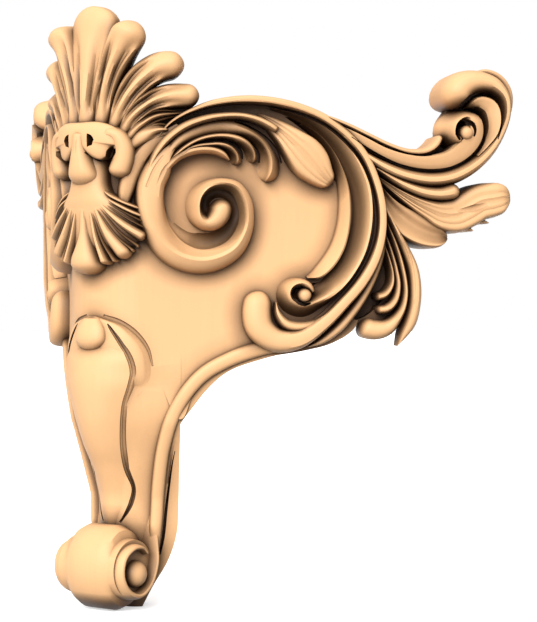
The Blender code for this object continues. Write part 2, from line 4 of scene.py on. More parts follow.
import bmesh
import bpy
import numpy as np
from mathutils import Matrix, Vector

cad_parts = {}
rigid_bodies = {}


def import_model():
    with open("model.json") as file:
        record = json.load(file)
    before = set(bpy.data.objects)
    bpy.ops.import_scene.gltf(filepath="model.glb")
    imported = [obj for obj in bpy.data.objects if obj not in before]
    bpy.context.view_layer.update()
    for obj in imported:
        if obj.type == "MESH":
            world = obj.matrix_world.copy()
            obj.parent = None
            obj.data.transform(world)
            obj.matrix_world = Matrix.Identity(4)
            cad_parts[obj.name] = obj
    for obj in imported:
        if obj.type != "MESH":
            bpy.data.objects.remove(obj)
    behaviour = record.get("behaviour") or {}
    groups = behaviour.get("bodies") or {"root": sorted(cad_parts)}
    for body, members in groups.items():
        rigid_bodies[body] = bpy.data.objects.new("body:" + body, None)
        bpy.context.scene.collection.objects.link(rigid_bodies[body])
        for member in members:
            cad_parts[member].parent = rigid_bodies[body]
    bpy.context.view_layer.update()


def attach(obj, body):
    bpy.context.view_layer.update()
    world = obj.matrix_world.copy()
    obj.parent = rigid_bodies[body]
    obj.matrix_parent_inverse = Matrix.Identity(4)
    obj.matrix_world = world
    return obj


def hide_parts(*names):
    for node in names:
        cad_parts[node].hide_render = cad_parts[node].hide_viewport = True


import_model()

# The view. The camera faces the right wing, a little round to its left and hardly above its middle. Soft
# daylight falls from beside the camera, a little above and left of it. The pale surroundings give most light
# from above on the left. The floor lies at the height of the sole and adds no diffuse light to the wood.
VIEW_FROM_LEFT = math.radians(7.5)
VIEW_FROM_ABOVE = math.radians(0.85)
CAMERA_PLACE = (-0.08185, -1.15483, 0.036)
FOCAL_LENGTH = 121.5
SENSOR_HEIGHT = 36.0
DAYLIGHT_TRAVELS = (0.31, 0.83, -0.46)
DAYLIGHT_STRENGTH = 4.8
DAYLIGHT_SPREAD = math.radians(38)
BRIGHTEST_SIDE = (-0.6, -0.2, 0.77)
FLOOR_REACH = 6.0
SOLE = -142.0
MM = 0.001
scene = bpy.context.scene
scene.view_settings.view_transform = "Standard"
camera = bpy.data.objects.new("camera", bpy.data.cameras.new("camera"))
scene.collection.objects.link(camera)
scene.camera = camera
camera.location = CAMERA_PLACE
camera.data.sensor_fit = "VERTICAL"
camera.data.sensor_height = SENSOR_HEIGHT
camera.data.lens = FOCAL_LENGTH
level = math.cos(VIEW_FROM_ABOVE)
looking = Vector((math.sin(VIEW_FROM_LEFT) * level, math.cos(VIEW_FROM_LEFT) * level,
                  -math.sin(VIEW_FROM_ABOVE)))
camera.rotation_euler = looking.to_track_quat("-Z", "Y").to_euler()

daylight = bpy.data.objects.new("daylight", bpy.data.lights.new("daylight", "SUN"))
scene.collection.objects.link(daylight)
daylight.data.energy = DAYLIGHT_STRENGTH
daylight.data.angle = DAYLIGHT_SPREAD
daylight.rotation_euler = Vector(DAYLIGHT_TRAVELS).to_track_quat("-Z", "Y").to_euler()


class Tone:
    """One socket of a shader, with plain arithmetic on it."""

    def __init__(self, tree, socket):
        self.tree = tree
        self.socket = socket

    def worked(self, operation, first, second):
        """The result of one Math node on two sockets or numbers."""
        node = self.tree.nodes.new("ShaderNodeMath")
        node.operation = operation
        for place, value in enumerate((first, second)):
            if isinstance(value, Tone):
                self.tree.links.new(value.socket, node.inputs[place])
            else:
                node.inputs[place].default_value = value
        return Tone(self.tree, node.outputs[0])

    def __add__(self, other):
        return self.worked("ADD", self, other)

    def __mul__(self, other):
        return self.worked("MULTIPLY", self, other)

    def __pow__(self, other):
        return self.worked("POWER", self, other)

    __radd__ = __add__
    __rmul__ = __mul__


def shader_node(tree, kind, output, settings=(), **values):
    """Any node of a shader, given its settings first and then the values or links of its sockets."""
    node = tree.nodes.new(kind)
    for name, value in dict(settings).items():
        setattr(node, name, value)
    for name, value in values.items():
        socket = next(s for s in node.inputs
                      if s.enabled and name in (s.name.replace(" ", "_"), s.identifier))
        if isinstance(value, Tone):
            tree.links.new(value.socket, socket)
        else:
            socket.default_value = value
    return Tone(tree, next(s for s in node.outputs if s.name == output and s.enabled))


surroundings = bpy.data.worlds.new("surroundings")
scene.world = surroundings
surroundings.use_nodes = True
sky_tree = surroundings.node_tree
sky = sky_tree.nodes["Background"]
sky.inputs["Color"].default_value = (1, 1, 1, 1)
direction = shader_node(sky_tree, "ShaderNodeTexCoord", "Generated")
towards_brightest = shader_node(sky_tree, "ShaderNodeVectorMath", "Value", {"operation": "DOT_PRODUCT"},
                                Vector=direction, Vector_001=BRIGHTEST_SIDE)
sky_light = shader_node(sky_tree, "ShaderNodeMapRange", "Result", Value=towards_brightest,
                        From_Min=-0.5, From_Max=0.6, To_Min=0.12, To_Max=0.9)
seen = shader_node(sky_tree, "ShaderNodeLightPath", "Is Camera Ray")
brightness = shader_node(sky_tree, "ShaderNodeMapRange", "Result", Value=seen, To_Min=sky_light, To_Max=1.0)
sky_tree.links.new(brightness.socket, sky.inputs["Strength"])

floor_mesh = bpy.data.meshes.new("floor")
floor_corners = [(x * FLOOR_REACH, y * FLOOR_REACH, SOLE * MM)
                 for x, y in ((-1, -1), (1, -1), (1, 1), (-1, 1))]
floor_mesh.from_pydata(floor_corners, [], [(0, 1, 2, 3)])
floor = bpy.data.objects.new("floor", floor_mesh)
scene.collection.objects.link(floor)
pale = bpy.data.materials.new("pale floor")
pale.use_nodes = True
for name, value in (("Base Color", (0.95, 0.95, 0.95, 1)), ("Roughness", 0.9),
                    ("Emission Color", (1, 1, 1, 1)), ("Emission Strength", 0.5)):
    pale.node_tree.nodes["Principled BSDF"].inputs[name].default_value = value
floor_mesh.materials.append(pale)
floor.visible_diffuse = False

# The block. Leg, carcass corner and both wings are one piece of glued-up wood, and all the carving stands
# on it. A place on a wing is given in millimetres: along it from the outer corner, up from the top of the
# post, and out of its plain ground. The left wing is the right one mirrored about the diagonal plane.
CORNER_TO_FRAME = 38.0
CORNER_RADIUS = 36.0
CORNER_TOP = 127.0
CORNER_BOTTOM = -2.0
POST_SIDE = 56.0
WING_THICKNESS = 20.0
ROUNDING_POINTS = 25


def wing_place(along, up, out):
    """A point of the right wing's flat face."""
    along, up, out = np.broadcast_arrays(along, up, out)
    return np.stack([along - CORNER_TO_FRAME, -CORNER_TO_FRAME - out, up], axis=-1)


def corner_place(girth, up, out):
    """A point of the carcass corner, whose girth runs round the rounding and on along the right wing."""
    quarter = CORNER_RADIUS * math.pi / 4
    girth, up, out = np.broadcast_arrays(girth, up, out)
    angle = np.clip(girth / CORNER_RADIUS, -math.pi / 4, math.pi / 4)
    reach = CORNER_RADIUS + out
    x = CORNER_RADIUS - reach * np.sin(math.pi / 4 - angle)
    y = CORNER_RADIUS - reach * np.cos(math.pi / 4 - angle)
    x = x + np.maximum(girth - quarter, 0)
    y = y + np.maximum(-girth - quarter, 0)
    return np.stack([x - CORNER_TO_FRAME, y - CORNER_TO_FRAME, up], axis=-1)


def smooth_line(rows, per_span=16):
    """Many points on a centripetal Catmull-Rom curve through the rows; further columns ride along."""
    rows = np.array(rows, float)
    ends = np.vstack([2 * rows[0] - rows[1], rows, 2 * rows[-1] - rows[-2]])
    knots = np.concatenate([[0], np.cumsum(np.linalg.norm(np.diff(ends[:, :2], axis=0), axis=1) ** 0.5)])
    line = []
    for i in range(1, len(ends) - 2):
        t0, t1, t2, t3 = knots[i - 1:i + 3]
        t = np.linspace(t1, t2, per_span, endpoint=i == len(ends) - 3)[:, None]
        a = [(ends[j + 1] * (t - knots[j]) + ends[j] * (knots[j + 1] - t)) / (knots[j + 1] - knots[j])
             for j in (i - 1, i, i + 1)]
        b0 = (a[1] * (t - t0) + a[0] * (t2 - t)) / (t2 - t0)
        b1 = (a[2] * (t - t1) + a[1] * (t3 - t)) / (t3 - t1)
        line.append((b1 * (t - t1) + b0 * (t2 - t)) / (t2 - t1))
    return np.vstack(line)


def walked(line):
    """The distance walked along a line at each of its points."""
    return np.concatenate([[0], np.cumsum(np.linalg.norm(np.diff(line[:, :2], axis=0), axis=1))])


def body(name, points, faces):
    """A new object from points in millimetres and faces, which are turned outwards."""
    mesh = bpy.data.meshes.new(name)
    mesh.from_pydata((np.asarray(points) * MM).tolist(), [], faces)
    shape = bmesh.new()
    shape.from_mesh(mesh)
    bmesh.ops.recalc_face_normals(shape, faces=shape.faces)
    shape.to_mesh(mesh)
    shape.free()
    return bpy.data.objects.new(name, mesh)


def loft(name, rings):
    """A closed body through rings that all have the same number of points."""
    rings = np.array(rings)
    count, wide = rings.shape[:2]
    index = np.arange(count * wide).reshape(count, wide)
    after = np.roll(index, -1, axis=1)
    sides = np.stack([index[:-1], after[:-1], after[1:], index[1:]], axis=-1).reshape(-1, 4)
    return body(name, rings.reshape(-1, 3), [*sides.tolist(), index[0, ::-1].tolist(), index[-1].tolist()])


def slab(name, place, outline, low, high):
    """A flat outline with straight sides between two heights above the ground."""
    along, up = np.array(outline, float)[:, :2].T
    return loft(name, [place(along, up, np.full_like(up, out)) for out in (low, high)])


def leg_ring(up, recess, radius, back):
    """One level of the leg: a square with a rounded outer corner and front faces set back by the recess."""
    angles = np.linspace(math.pi * 1.5, math.pi, ROUNDING_POINTS)
    x = np.concatenate([[back], recess + radius + radius * np.cos(angles), [recess, back]])
    y = np.concatenate([[recess], recess + radius + radius * np.sin(angles), [back, back]])
    return np.stack([x - CORNER_TO_FRAME, y - CORNER_TO_FRAME, np.full_like(x, up)], axis=-1)


def leg():
    """The leg's post from the bearing face down to the heel, each level as (up, recess, radius, back)."""
    levels = [(0, 0, 36, 56), (-22, 0, 33, 56), (-38, 1.5, 28, 56), (-60, 8.5, 22, 56), (-82, 14, 17, 56),
              (-97, 14.5, 17, 55.5), (-106, 16, 16, 54), (-118, 20, 14, 50),
              (-130, 22, 12, 43), (SOLE, 24, 10, 37)]
    line = smooth_line(levels, per_span=8)
    return loft("leg", [leg_ring(*level) for level in line])


def carcass_corner():
    """The carcass corner, sunk a little into the post: two walls that meet in the rounded outer corner."""
    angles = np.linspace(-math.pi / 2, -math.pi, ROUNDING_POINTS)
    outer = [(CORNER_RADIUS * (1 + math.cos(a)), CORNER_RADIUS * (1 + math.sin(a))) for a in angles]
    outline = [(POST_SIDE, 0), *outer, (0, POST_SIDE), (WING_THICKNESS, POST_SIDE),
               (WING_THICKNESS, WING_THICKNESS), (POST_SIDE, WING_THICKNESS)]
    x, y = np.array(outline).T - CORNER_TO_FRAME
    return loft("carcass corner",
                [np.stack([x, y, np.full_like(x, up)], axis=-1) for up in (CORNER_BOTTOM, CORNER_TOP)])


BRANCH_TOP = -4.0
ground_edge = [(44, -16), (54, -38), (57, -38), (62, -27), (68.5, -19), (78, -12.3), (90, -7.6), (106, -4.8),
               (123, -2), (138, 2), (150, 10), (154, 24), (160, 38), (165, 56), (165, 76), (161, 92),
               (155, 105), (146, 116), (135, 123.5), (120, 128.5), (104, 131.5), (88, 131.5),
               (66, 128), (50, CORNER_TOP)]
branch_edge = [(136, 110), (150, 96), (168, 84), (196, 73), (220, 78), (200, 88), (218, 100), (231.5, 114),
               (234.5, 126), (232.5, 137), (225.5, 145), (217, 147), (205, 141), (203, 130), (198, 122),
               (196, 112), (188, 107), (168, 110), (150, 119), (138, 124)]
curl_edge = [(150, 90), (168, 80), (192, 62), (178, 62), (175, 54), (180, 42), (182, 28), (176, 12), (160, 8),
             (148, 14)]
joint_edge = [(150, 104), (166, 96), (182, 84), (176, 76), (164, 80)]
ground = [
    slab("ground", wing_place,
         [(CORNER_RADIUS, 0), *smooth_line(ground_edge, 6), (CORNER_RADIUS, CORNER_TOP)], -WING_THICKNESS, 0),
]
ground += [slab(name, wing_place, edge, -WING_THICKNESS, BRANCH_TOP) for name, edge in (
    ("branch backing", smooth_line(branch_edge, 6)), ("curl backing", smooth_line(curl_edge, 6)),
    ("joint backing", joint_edge))]

# The carved bands. Stems, rims and leaves are bands along smooth lines, each with its own cross-section cut
# by a sweep of the gouge: a plain roll, a flat stem, a rim that falls off into a cove, a veined leaf. Right
# and left in a section's name tell the side of its ridge, or of a cone's gentler slope, seen along the band.
ROLL = ((-1, 0), (-0.95, 0.45), (-0.75, 0.78), (-0.4, 0.96), (0, 1), (0.4, 0.96), (0.75, 0.78), (0.95, 0.45),
        (1, 0))
STEM = ((-1, 0), (-0.93, 0.35), (-0.82, 0.78), (-0.6, 0.96), (0, 1), (0.6, 0.96), (0.82, 0.78), (0.93, 0.35),
        (1, 0))
RIM_RIGHT = ((-1, 0), (-0.94, 0.3), (-0.83, 0.62), (-0.55, 0.88), (-0.28, 1), (-0.16, 0.95), (0.1, 0.55),
             (0.5, 0.16), (0.85, 0), (1, -0.15))
CONE_RIGHT = ((-1, 0), (-0.82, 0.14), (-0.5, 0.42), (-0.2, 0.76), (-0.02, 0.97), (0.08, 1), (0.18, 0.88),
              (0.36, 0.3), (0.7, 0.06), (1, 0))
CONE_LEFT = tuple((-across, level) for across, level in reversed(CONE_RIGHT))
EDGE_LEFT = ((-1, -0.15), (-0.85, 0), (-0.3, 0.2), (0.2, 0.55), (0.55, 0.86), (0.75, 1), (0.9, 0.94),
             (0.97, 0.6), (1, 0))
SLOPE_LEFT = ((-1, 0), (-0.9, 0.2), (-0.3, 0.52), (0.3, 0.84), (0.62, 1), (0.82, 0.94), (0.96, 0.5), (1, 0))
BLADE = ((-1, 0), (-0.95, 0.55), (-0.84, 0.88), (-0.66, 0.96), (-0.5, 0.93), (-0.3, 0.99), (-0.08, 0.935),
         (0.14, 1), (0.34, 0.95), (0.55, 0.99), (0.72, 0.94), (0.86, 0.86), (0.95, 0.55), (1, 0))
DISHED = ((-1, 0), (-0.95, 0.6), (-0.82, 0.96), (-0.66, 1), (-0.4, 0.84), (-0.1, 0.7), (0.15, 0.64),
          (0.35, 0.7), (0.6, 0.82), (0.85, 0.84), (0.95, 0.6), (1, 0))
TILTED = ((-1, 0), (-0.95, 0.5), (-0.82, 0.8), (-0.4, 0.9), (0.1, 0.95), (0.6, 1), (0.86, 0.97), (0.96, 0.6),
          (1, 0))
HOOKED = ((-1, -0.15), (-0.85, 0), (-0.5, 0.12), (-0.15, 0.4), (0.02, 0.85), (0.12, 1), (0.26, 0.94),
          (0.5, 0.72), (0.8, 0.4), (0.94, 0.15), (1, 0))
LEVEL = ((-1, 1), (-0.4, 1), (0.4, 1), (1, 1))
BACK_OF_WING = -WING_THICKNESS - 1
CARVING_ROOT = -8.0
CUT_TOP = 40.0
POINTS_ACROSS = 17
BROAD_POINTS = 33
VEIN_POINTS = 37
STEP_ALONG = 1.65
SECTION_WEIGHTS = (3.0, 5.0)
FIRST_CAP_ANGLE = 0.12
END_HEIGHT = 0.25
DOME_END = math.pi / 2 - 0.08
DOME_OF_RADIUS = 0.9
DOME_OF_HEIGHT = 0.6
BUTTON_SIDES = 32
ROD_STEP = 1.6
ROD_SIDES = 12


def eased(section, points):
    """A cross-section as evenly spread points; its level counts for more than its place across."""
    line = smooth_line(section, per_span=8)
    way = walked(line * SECTION_WEIGHTS)
    even = np.linspace(0, way[-1], points)
    return np.stack([np.interp(even, way, column) for column in line.T], axis=-1)


def solid_between(name, top, under):
    """A closed body between two matching grids of points."""
    count, wide = top.shape[:2]
    points = np.concatenate([top.reshape(-1, 3), under.reshape(-1, 3)])
    shift = count * wide
    index = np.arange(shift).reshape(count, wide)
    quads = np.stack([index[:-1, :-1], index[1:, :-1], index[1:, 1:], index[:-1, 1:]], axis=-1).reshape(-1, 4)
    edge = np.concatenate([index[0], index[1:, -1], index[-1, -2::-1], index[-2:0:-1, 0]])
    following = np.roll(edge, -1)
    walls = np.stack([edge, following, following + shift, edge + shift], axis=-1)
    return body(name, points, [*quads.tolist(), *(quads[:, ::-1] + shift).tolist(), *walls.tolist()])


def stops(total, start_cap, end_cap):
    """Where along a band its cross-sections stand, and how much its rounded ends narrow each of them."""
    turn = np.linspace(FIRST_CAP_ANGLE, math.pi / 2, 8)
    steps = max(2, round((total - start_cap - end_cap) / STEP_ALONG))
    at = np.linspace(start_cap, total - end_cap, steps + 1)
    narrowed = np.ones(len(at))
    if start_cap:
        at = np.concatenate([start_cap * (1 - np.cos(turn[:-1])), at])
        narrowed = np.concatenate([np.sin(turn[:-1]), narrowed])
    if end_cap:
        at = np.concatenate([at, total - end_cap * (1 - np.cos(turn[-2::-1]))])
        narrowed = np.concatenate([narrowed, np.sin(turn[-2::-1])])
    return at, narrowed


def run_of(line, way, at):
    """The direction of a line at the given distances along it, as unit steps along and up."""
    run = np.gradient(line[:, :2], axis=0)
    run = np.stack([np.interp(at, way, column) for column in run.T])
    return run / np.linalg.norm(run, axis=0)


def band(name, place, rows, sections, root=CARVING_ROOT, caps=(0, 0), points=POINTS_ACROSS):
    """A carved band, from rows of along, up, width, height and how far it has changed to the next section.

    Its root is one height, or one for its start and one for its end.
    """
    rows = [tuple(row) + (0,) * (5 - len(row)) for row in rows]
    line = smooth_line(rows)
    way = walked(line)
    at, narrowed = stops(way[-1], *caps)
    along, up, width, height, change = (np.interp(at, way, column)[:, None] for column in line.T)
    run = run_of(line, way, at)
    shapes = np.array([eased(section, points) for section in (*sections, sections[-1])])
    number = np.clip(change[:, 0].astype(int), 0, len(sections) - 1)
    share = np.clip(change[:, 0] - number, 0, 1)[:, None, None]
    shape = shapes[number] * (1 - share) + shapes[number + 1] * share
    half = 0.5 * width * narrowed[:, None] * shape[:, :, 0]
    out = height * shape[:, :, 1] * (END_HEIGHT + (1 - END_HEIGHT) * narrowed[:, None])
    along = along - run[1][:, None] * half
    up = up + run[0][:, None] * half
    under = np.interp(at, way[[0, -1]], np.broadcast_to(root, 2))[:, None]
    return solid_between(name, place(along, up, out), place(along, up, under + 0 * out))


def slot(name, place, rows, bottom):
    """A cutter for a steep-sided groove, from rows of along, up and width, down to one height."""
    return band(name, place, [(*row, CUT_TOP) for row in rows], (LEVEL,), root=bottom, points=5)


def button(name, place, along, up, radius, height, root=CARVING_ROOT):
    """A round button with a domed top, for the eye of a volute."""
    angles = np.linspace(0, 2 * math.pi, BUTTON_SIDES + 1)[:-1]
    rise = min(radius * DOME_OF_RADIUS, height * DOME_OF_HEIGHT)
    turn = np.linspace(0, DOME_END, 8)
    levels = [(1, root)] + [(math.cos(t), height - rise * (1 - math.sin(t))) for t in turn]
    return loft(name, [place(along + radius * share * np.cos(angles), up + radius * share * np.sin(angles),
                             np.full_like(angles, out)) for share, out in levels])


def rod_tree():
    """Geometry Nodes that turn a line with a radius at each point into a closed round rod."""
    tree = bpy.data.node_groups.new("rod along a line", "GeometryNodeTree")
    tree.interface.new_socket("Line", in_out="INPUT", socket_type="NodeSocketGeometry")
    tree.interface.new_socket("Rod", in_out="OUTPUT", socket_type="NodeSocketGeometry")
    for name, kind in (("Sides", "NodeSocketInt"), ("Thickness", "NodeSocketFloat"),
                       ("Material", "NodeSocketMaterial")):
        tree.interface.new_socket(name, in_out="INPUT", socket_type=kind)
    made = {name: tree.nodes.new(kind) for name, kind in (
        ("given", "NodeGroupInput"), ("curve", "GeometryNodeMeshToCurve"),
        ("radius", "GeometryNodeInputNamedAttribute"),
        ("profile", "GeometryNodeCurvePrimitiveCircle"), ("swept", "GeometryNodeCurveToMesh"),
        ("real", "GeometryNodeRealizeInstances"), ("finish", "GeometryNodeSetMaterial"),
        ("result", "NodeGroupOutput"))}
    made["radius"].inputs["Name"].default_value = "radius"
    made["swept"].inputs["Fill Caps"].default_value = True
    for start, output, end, place in (
            ("given", "Line", "curve", "Mesh"), ("given", "Sides", "profile", "Resolution"),
            ("given", "Thickness", "profile", "Radius"), ("curve", "Curve", "swept", "Curve"),
            ("radius", "Attribute", "swept", "Scale"), ("profile", "Curve", "swept", "Profile Curve"),
            ("swept", "Mesh", "real", "Geometry"), ("real", "Geometry", "finish", "Geometry"),
            ("given", "Material", "finish", "Material"), ("finish", "Geometry", "result", "Rod")):
        tree.links.new(made[start].outputs[output], made[end].inputs[place])
    return tree


rod_nodes = rod_tree()
rod_wood = bpy.data.materials.new("rod wood")


def rod(name, place, rows):
    """A round rod along a smooth line, from rows of along, up, out and radius."""
    line = smooth_line(rows)
    way = walked(line)
    at = np.linspace(0, way[-1], max(3, round(way[-1] / ROD_STEP)))
    along, up, out, radius = (np.interp(at, way, column) for column in line.T)
    mesh = bpy.data.meshes.new(name)
    mesh.from_pydata((place(along, up, out) * MM).tolist(), [(i, i + 1) for i in range(len(at) - 1)], [])
    mesh.attributes.new("radius", "FLOAT", "POINT").data.foreach_set("value", radius * MM)
    thread = bpy.data.objects.new(name, mesh)
    scene.collection.objects.link(thread)
    modifier = thread.modifiers.new("rod", "NODES")
    modifier.node_group = rod_nodes
    inputs = {item.name: item.identifier for item in rod_nodes.interface.items_tree if item.in_out == "INPUT"}
    modifier[inputs["Sides"]] = ROD_SIDES
    modifier[inputs["Thickness"]] = 1.0
    modifier[inputs["Material"]] = rod_wood
    bpy.context.view_layer.update()
    solid = bpy.data.meshes.new_from_object(thread.evaluated_get(bpy.context.evaluated_depsgraph_get()))
    bpy.data.objects.remove(thread, do_unlink=True)
    return bpy.data.objects.new(name, solid)


# The main volute of the wing. Its broad flat stem climbs from the corner, splits into five fingers above and
# rolls round below into a rim with a deep cove inside, ending in a comma-shaped eye.
volute = [
    band("volute", wing_place, [
        (56, 111.5, 1.5, 8), (52.5, 108, 4.5, 9.5), (47.5, 102.4, 10, 11.4), (43.6, 95.4, 15, 12),
        (39.9, 87.5, 16, 12), (39, 80.7, 16, 12), (39.6, 74, 16.6, 12, 0.15), (42.9, 64.3, 17.8, 12, 0.5),
        (49.7, 55.6, 19.8, 12, 0.85), (57.4, 51, 20.7, 12, 1), (65.9, 49.4, 20.7, 12, 1),
        (74.7, 50.9, 19.7, 12, 1), (82.5, 55.1, 17.1, 12, 1), (87.4, 62.4, 14.2, 12.5, 1),
        (89, 69.5, 12.6, 12.5, 1), (87.9, 77.6, 12.2, 12.5, 1), (83.8, 84.3, 10.4, 12.5, 1),
        (76.3, 86.3, 9, 13, 1.2), (69.8, 84.6, 9.6, 13, 1.6), (65.3, 80, 11.4, 13, 2),
        (64.2, 74.3, 12, 13, 2), (65.4, 69.2, 10.6, 13, 2.4), (68.6, 66.4, 8.8, 13, 2.8),
        (72.4, 67.2, 10.6, 13.6, 3), (75.5, 70.2, 12.4, 14, 3), (76.8, 74, 12.8, 14, 3),
        (76.8, 79.2, 12.6, 14, 3)],
        (STEM, RIM_RIGHT, CONE_RIGHT, ROLL), caps=(0, 6.3)),
]
fingers = [
    [(36.6, 88.2, 1.6, 11), (39.6, 97.8, 3.6, 12), (44.4, 106.2, 4.8, 13), (50.8, 112.8, 5.2, 13),
     (58.8, 118, 5.2, 13), (68.7, 121.5, 4.8, 13), (78.7, 123.1, 4.2, 13), (87.6, 123.1, 4, 13.6),
     (95.8, 121.2, 4.3, 14.2), (102, 118.3, 4.6, 14.4), (106.9, 115.1, 4.2, 14)],
    [(43, 92, 3, 11), (47.6, 102, 5.6, 11), (54.4, 109.6, 7.4, 10.5), (62.8, 114.2, 8.6, 9),
     (71.7, 116.9, 9.2, 8), (80.8, 117.3, 9.4, 8), (88.9, 115, 9.6, 10, 0.4), (95.7, 111.1, 10, 11.5, 0.8),
     (100, 106.1, 11.2, 12, 1), (102.3, 100, 13, 12, 1), (102.4, 94.7, 13, 11, 1), (100.8, 88.6, 10.3, 9, 1)],
    [(45.1, 91.2, 1.2, 11), (50.4, 99.6, 2.2, 12), (57.1, 106, 2.6, 12.5), (65.8, 110.6, 2.8, 13),
     (75.3, 112.4, 3.1, 13), (84.1, 111.5, 3.8, 13), (90.6, 108, 5.6, 12.5, 0.5), (93.6, 103.3, 7.4, 12, 1),
     (94, 98.7, 7.6, 10, 1)],
    [(50, 98.6, 1.2, 11), (57.9, 104.6, 1.8, 11), (63.2, 106.8, 2.3, 12), (70, 107.8, 2.6, 12),
     (76.7, 107.9, 3.1, 12), (82.2, 105.6, 5, 11.5, 0.5), (84.9, 101.6, 7.3, 11, 1), (85.1, 97.3, 7.4, 9, 1)],
    [(43, 86, 1.5, 11), (45.9, 91.6, 2.7, 11), (49.7, 97.3, 4, 11.5), (55.1, 102, 4.7, 11.5),
     (61.9, 104.8, 4.9, 11.5), (68.7, 105.5, 4.6, 11.5), (74.8, 104.6, 4.2, 11), (79, 102.3, 3.2, 10),
     (81.3, 99.7, 0.8, 8)],
]
volute += [band("finger", wing_place, rows, (ROLL, HOOKED), caps=(0, cap))
           for rows, cap in zip(fingers, (2, 5, 3, 3, 0))]
volute += [band("outer strip", wing_place, [
    (24.5, 73, 5, 5), (27, 84, 9.5, 6.5), (30.3, 93.6, 10.5, 7.2), (36, 103.4, 10, 7.6),
    (44.6, 111.2, 8.4, 7.6), (54, 117.4, 5, 7.6)], (STEM,))]
volute_grooves = [
    rod("stem crease", wing_place, [(36.6, 85, 12.6, 0.9), (41.5, 95.5, 12.8, 1.2), (48, 103.5, 12.6, 1.2),
                                    (58, 110.5, 12.4, 1)]),
    rod("stem crease", wing_place, [(42.5, 86, 12.8, 0.9), (46, 93.5, 12.6, 1.3), (52.5, 100.5, 12.2, 1.3),
                                    (60, 105.8, 12, 1)]),
    rod("volute trough", wing_place, [
        (46.6, 84, 2, 0.5), (46.8, 76, 2, 1.2), (49.6, 68.5, 2, 2), (54.5, 62.6, 2.2, 3),
        (60.5, 58.5, 2.6, 4), (66, 56.6, 2, 5), (73, 56.9, 1.6, 5), (79.5, 60.4, 1.2, 4.6),
        (84, 66.2, 0.6, 4), (86, 72.9, 0, 3.6), (84.2, 78.8, 0, 3.3), (80.4, 82, 0, 3.1), (76, 82.8, 0, 3),
        (71.8, 81.4, 0, 2.9), (69.2, 78.2, 0, 2.8), (69, 74.8, 0, 2.4), (70.8, 72.4, 1, 1.4)]),
    slot("gap under fingers", wing_place, [
        (64, 108.6, 0.5), (70, 109.8, 1.2), (76, 110.2, 1.6), (83, 108.9, 2.2), (87.6, 105, 2.6),
        (89.1, 100.6, 0.8)], -5),
    slot("gap behind finger", wing_place, [
        (84, 120, 0.5), (90, 118.4, 1.6), (96, 115.6, 2.4), (102, 111, 3), (107, 104.8, 3.2),
        (110.2, 98.6, 0.9)], -5),
    slot("gap inside finger", wing_place, [
        (84, 113.6, 0.4), (89, 112, 1.4), (93.6, 108.6, 2.2), (96.9, 103.6, 2.6), (98, 98.6, 0.9)], -4),
]

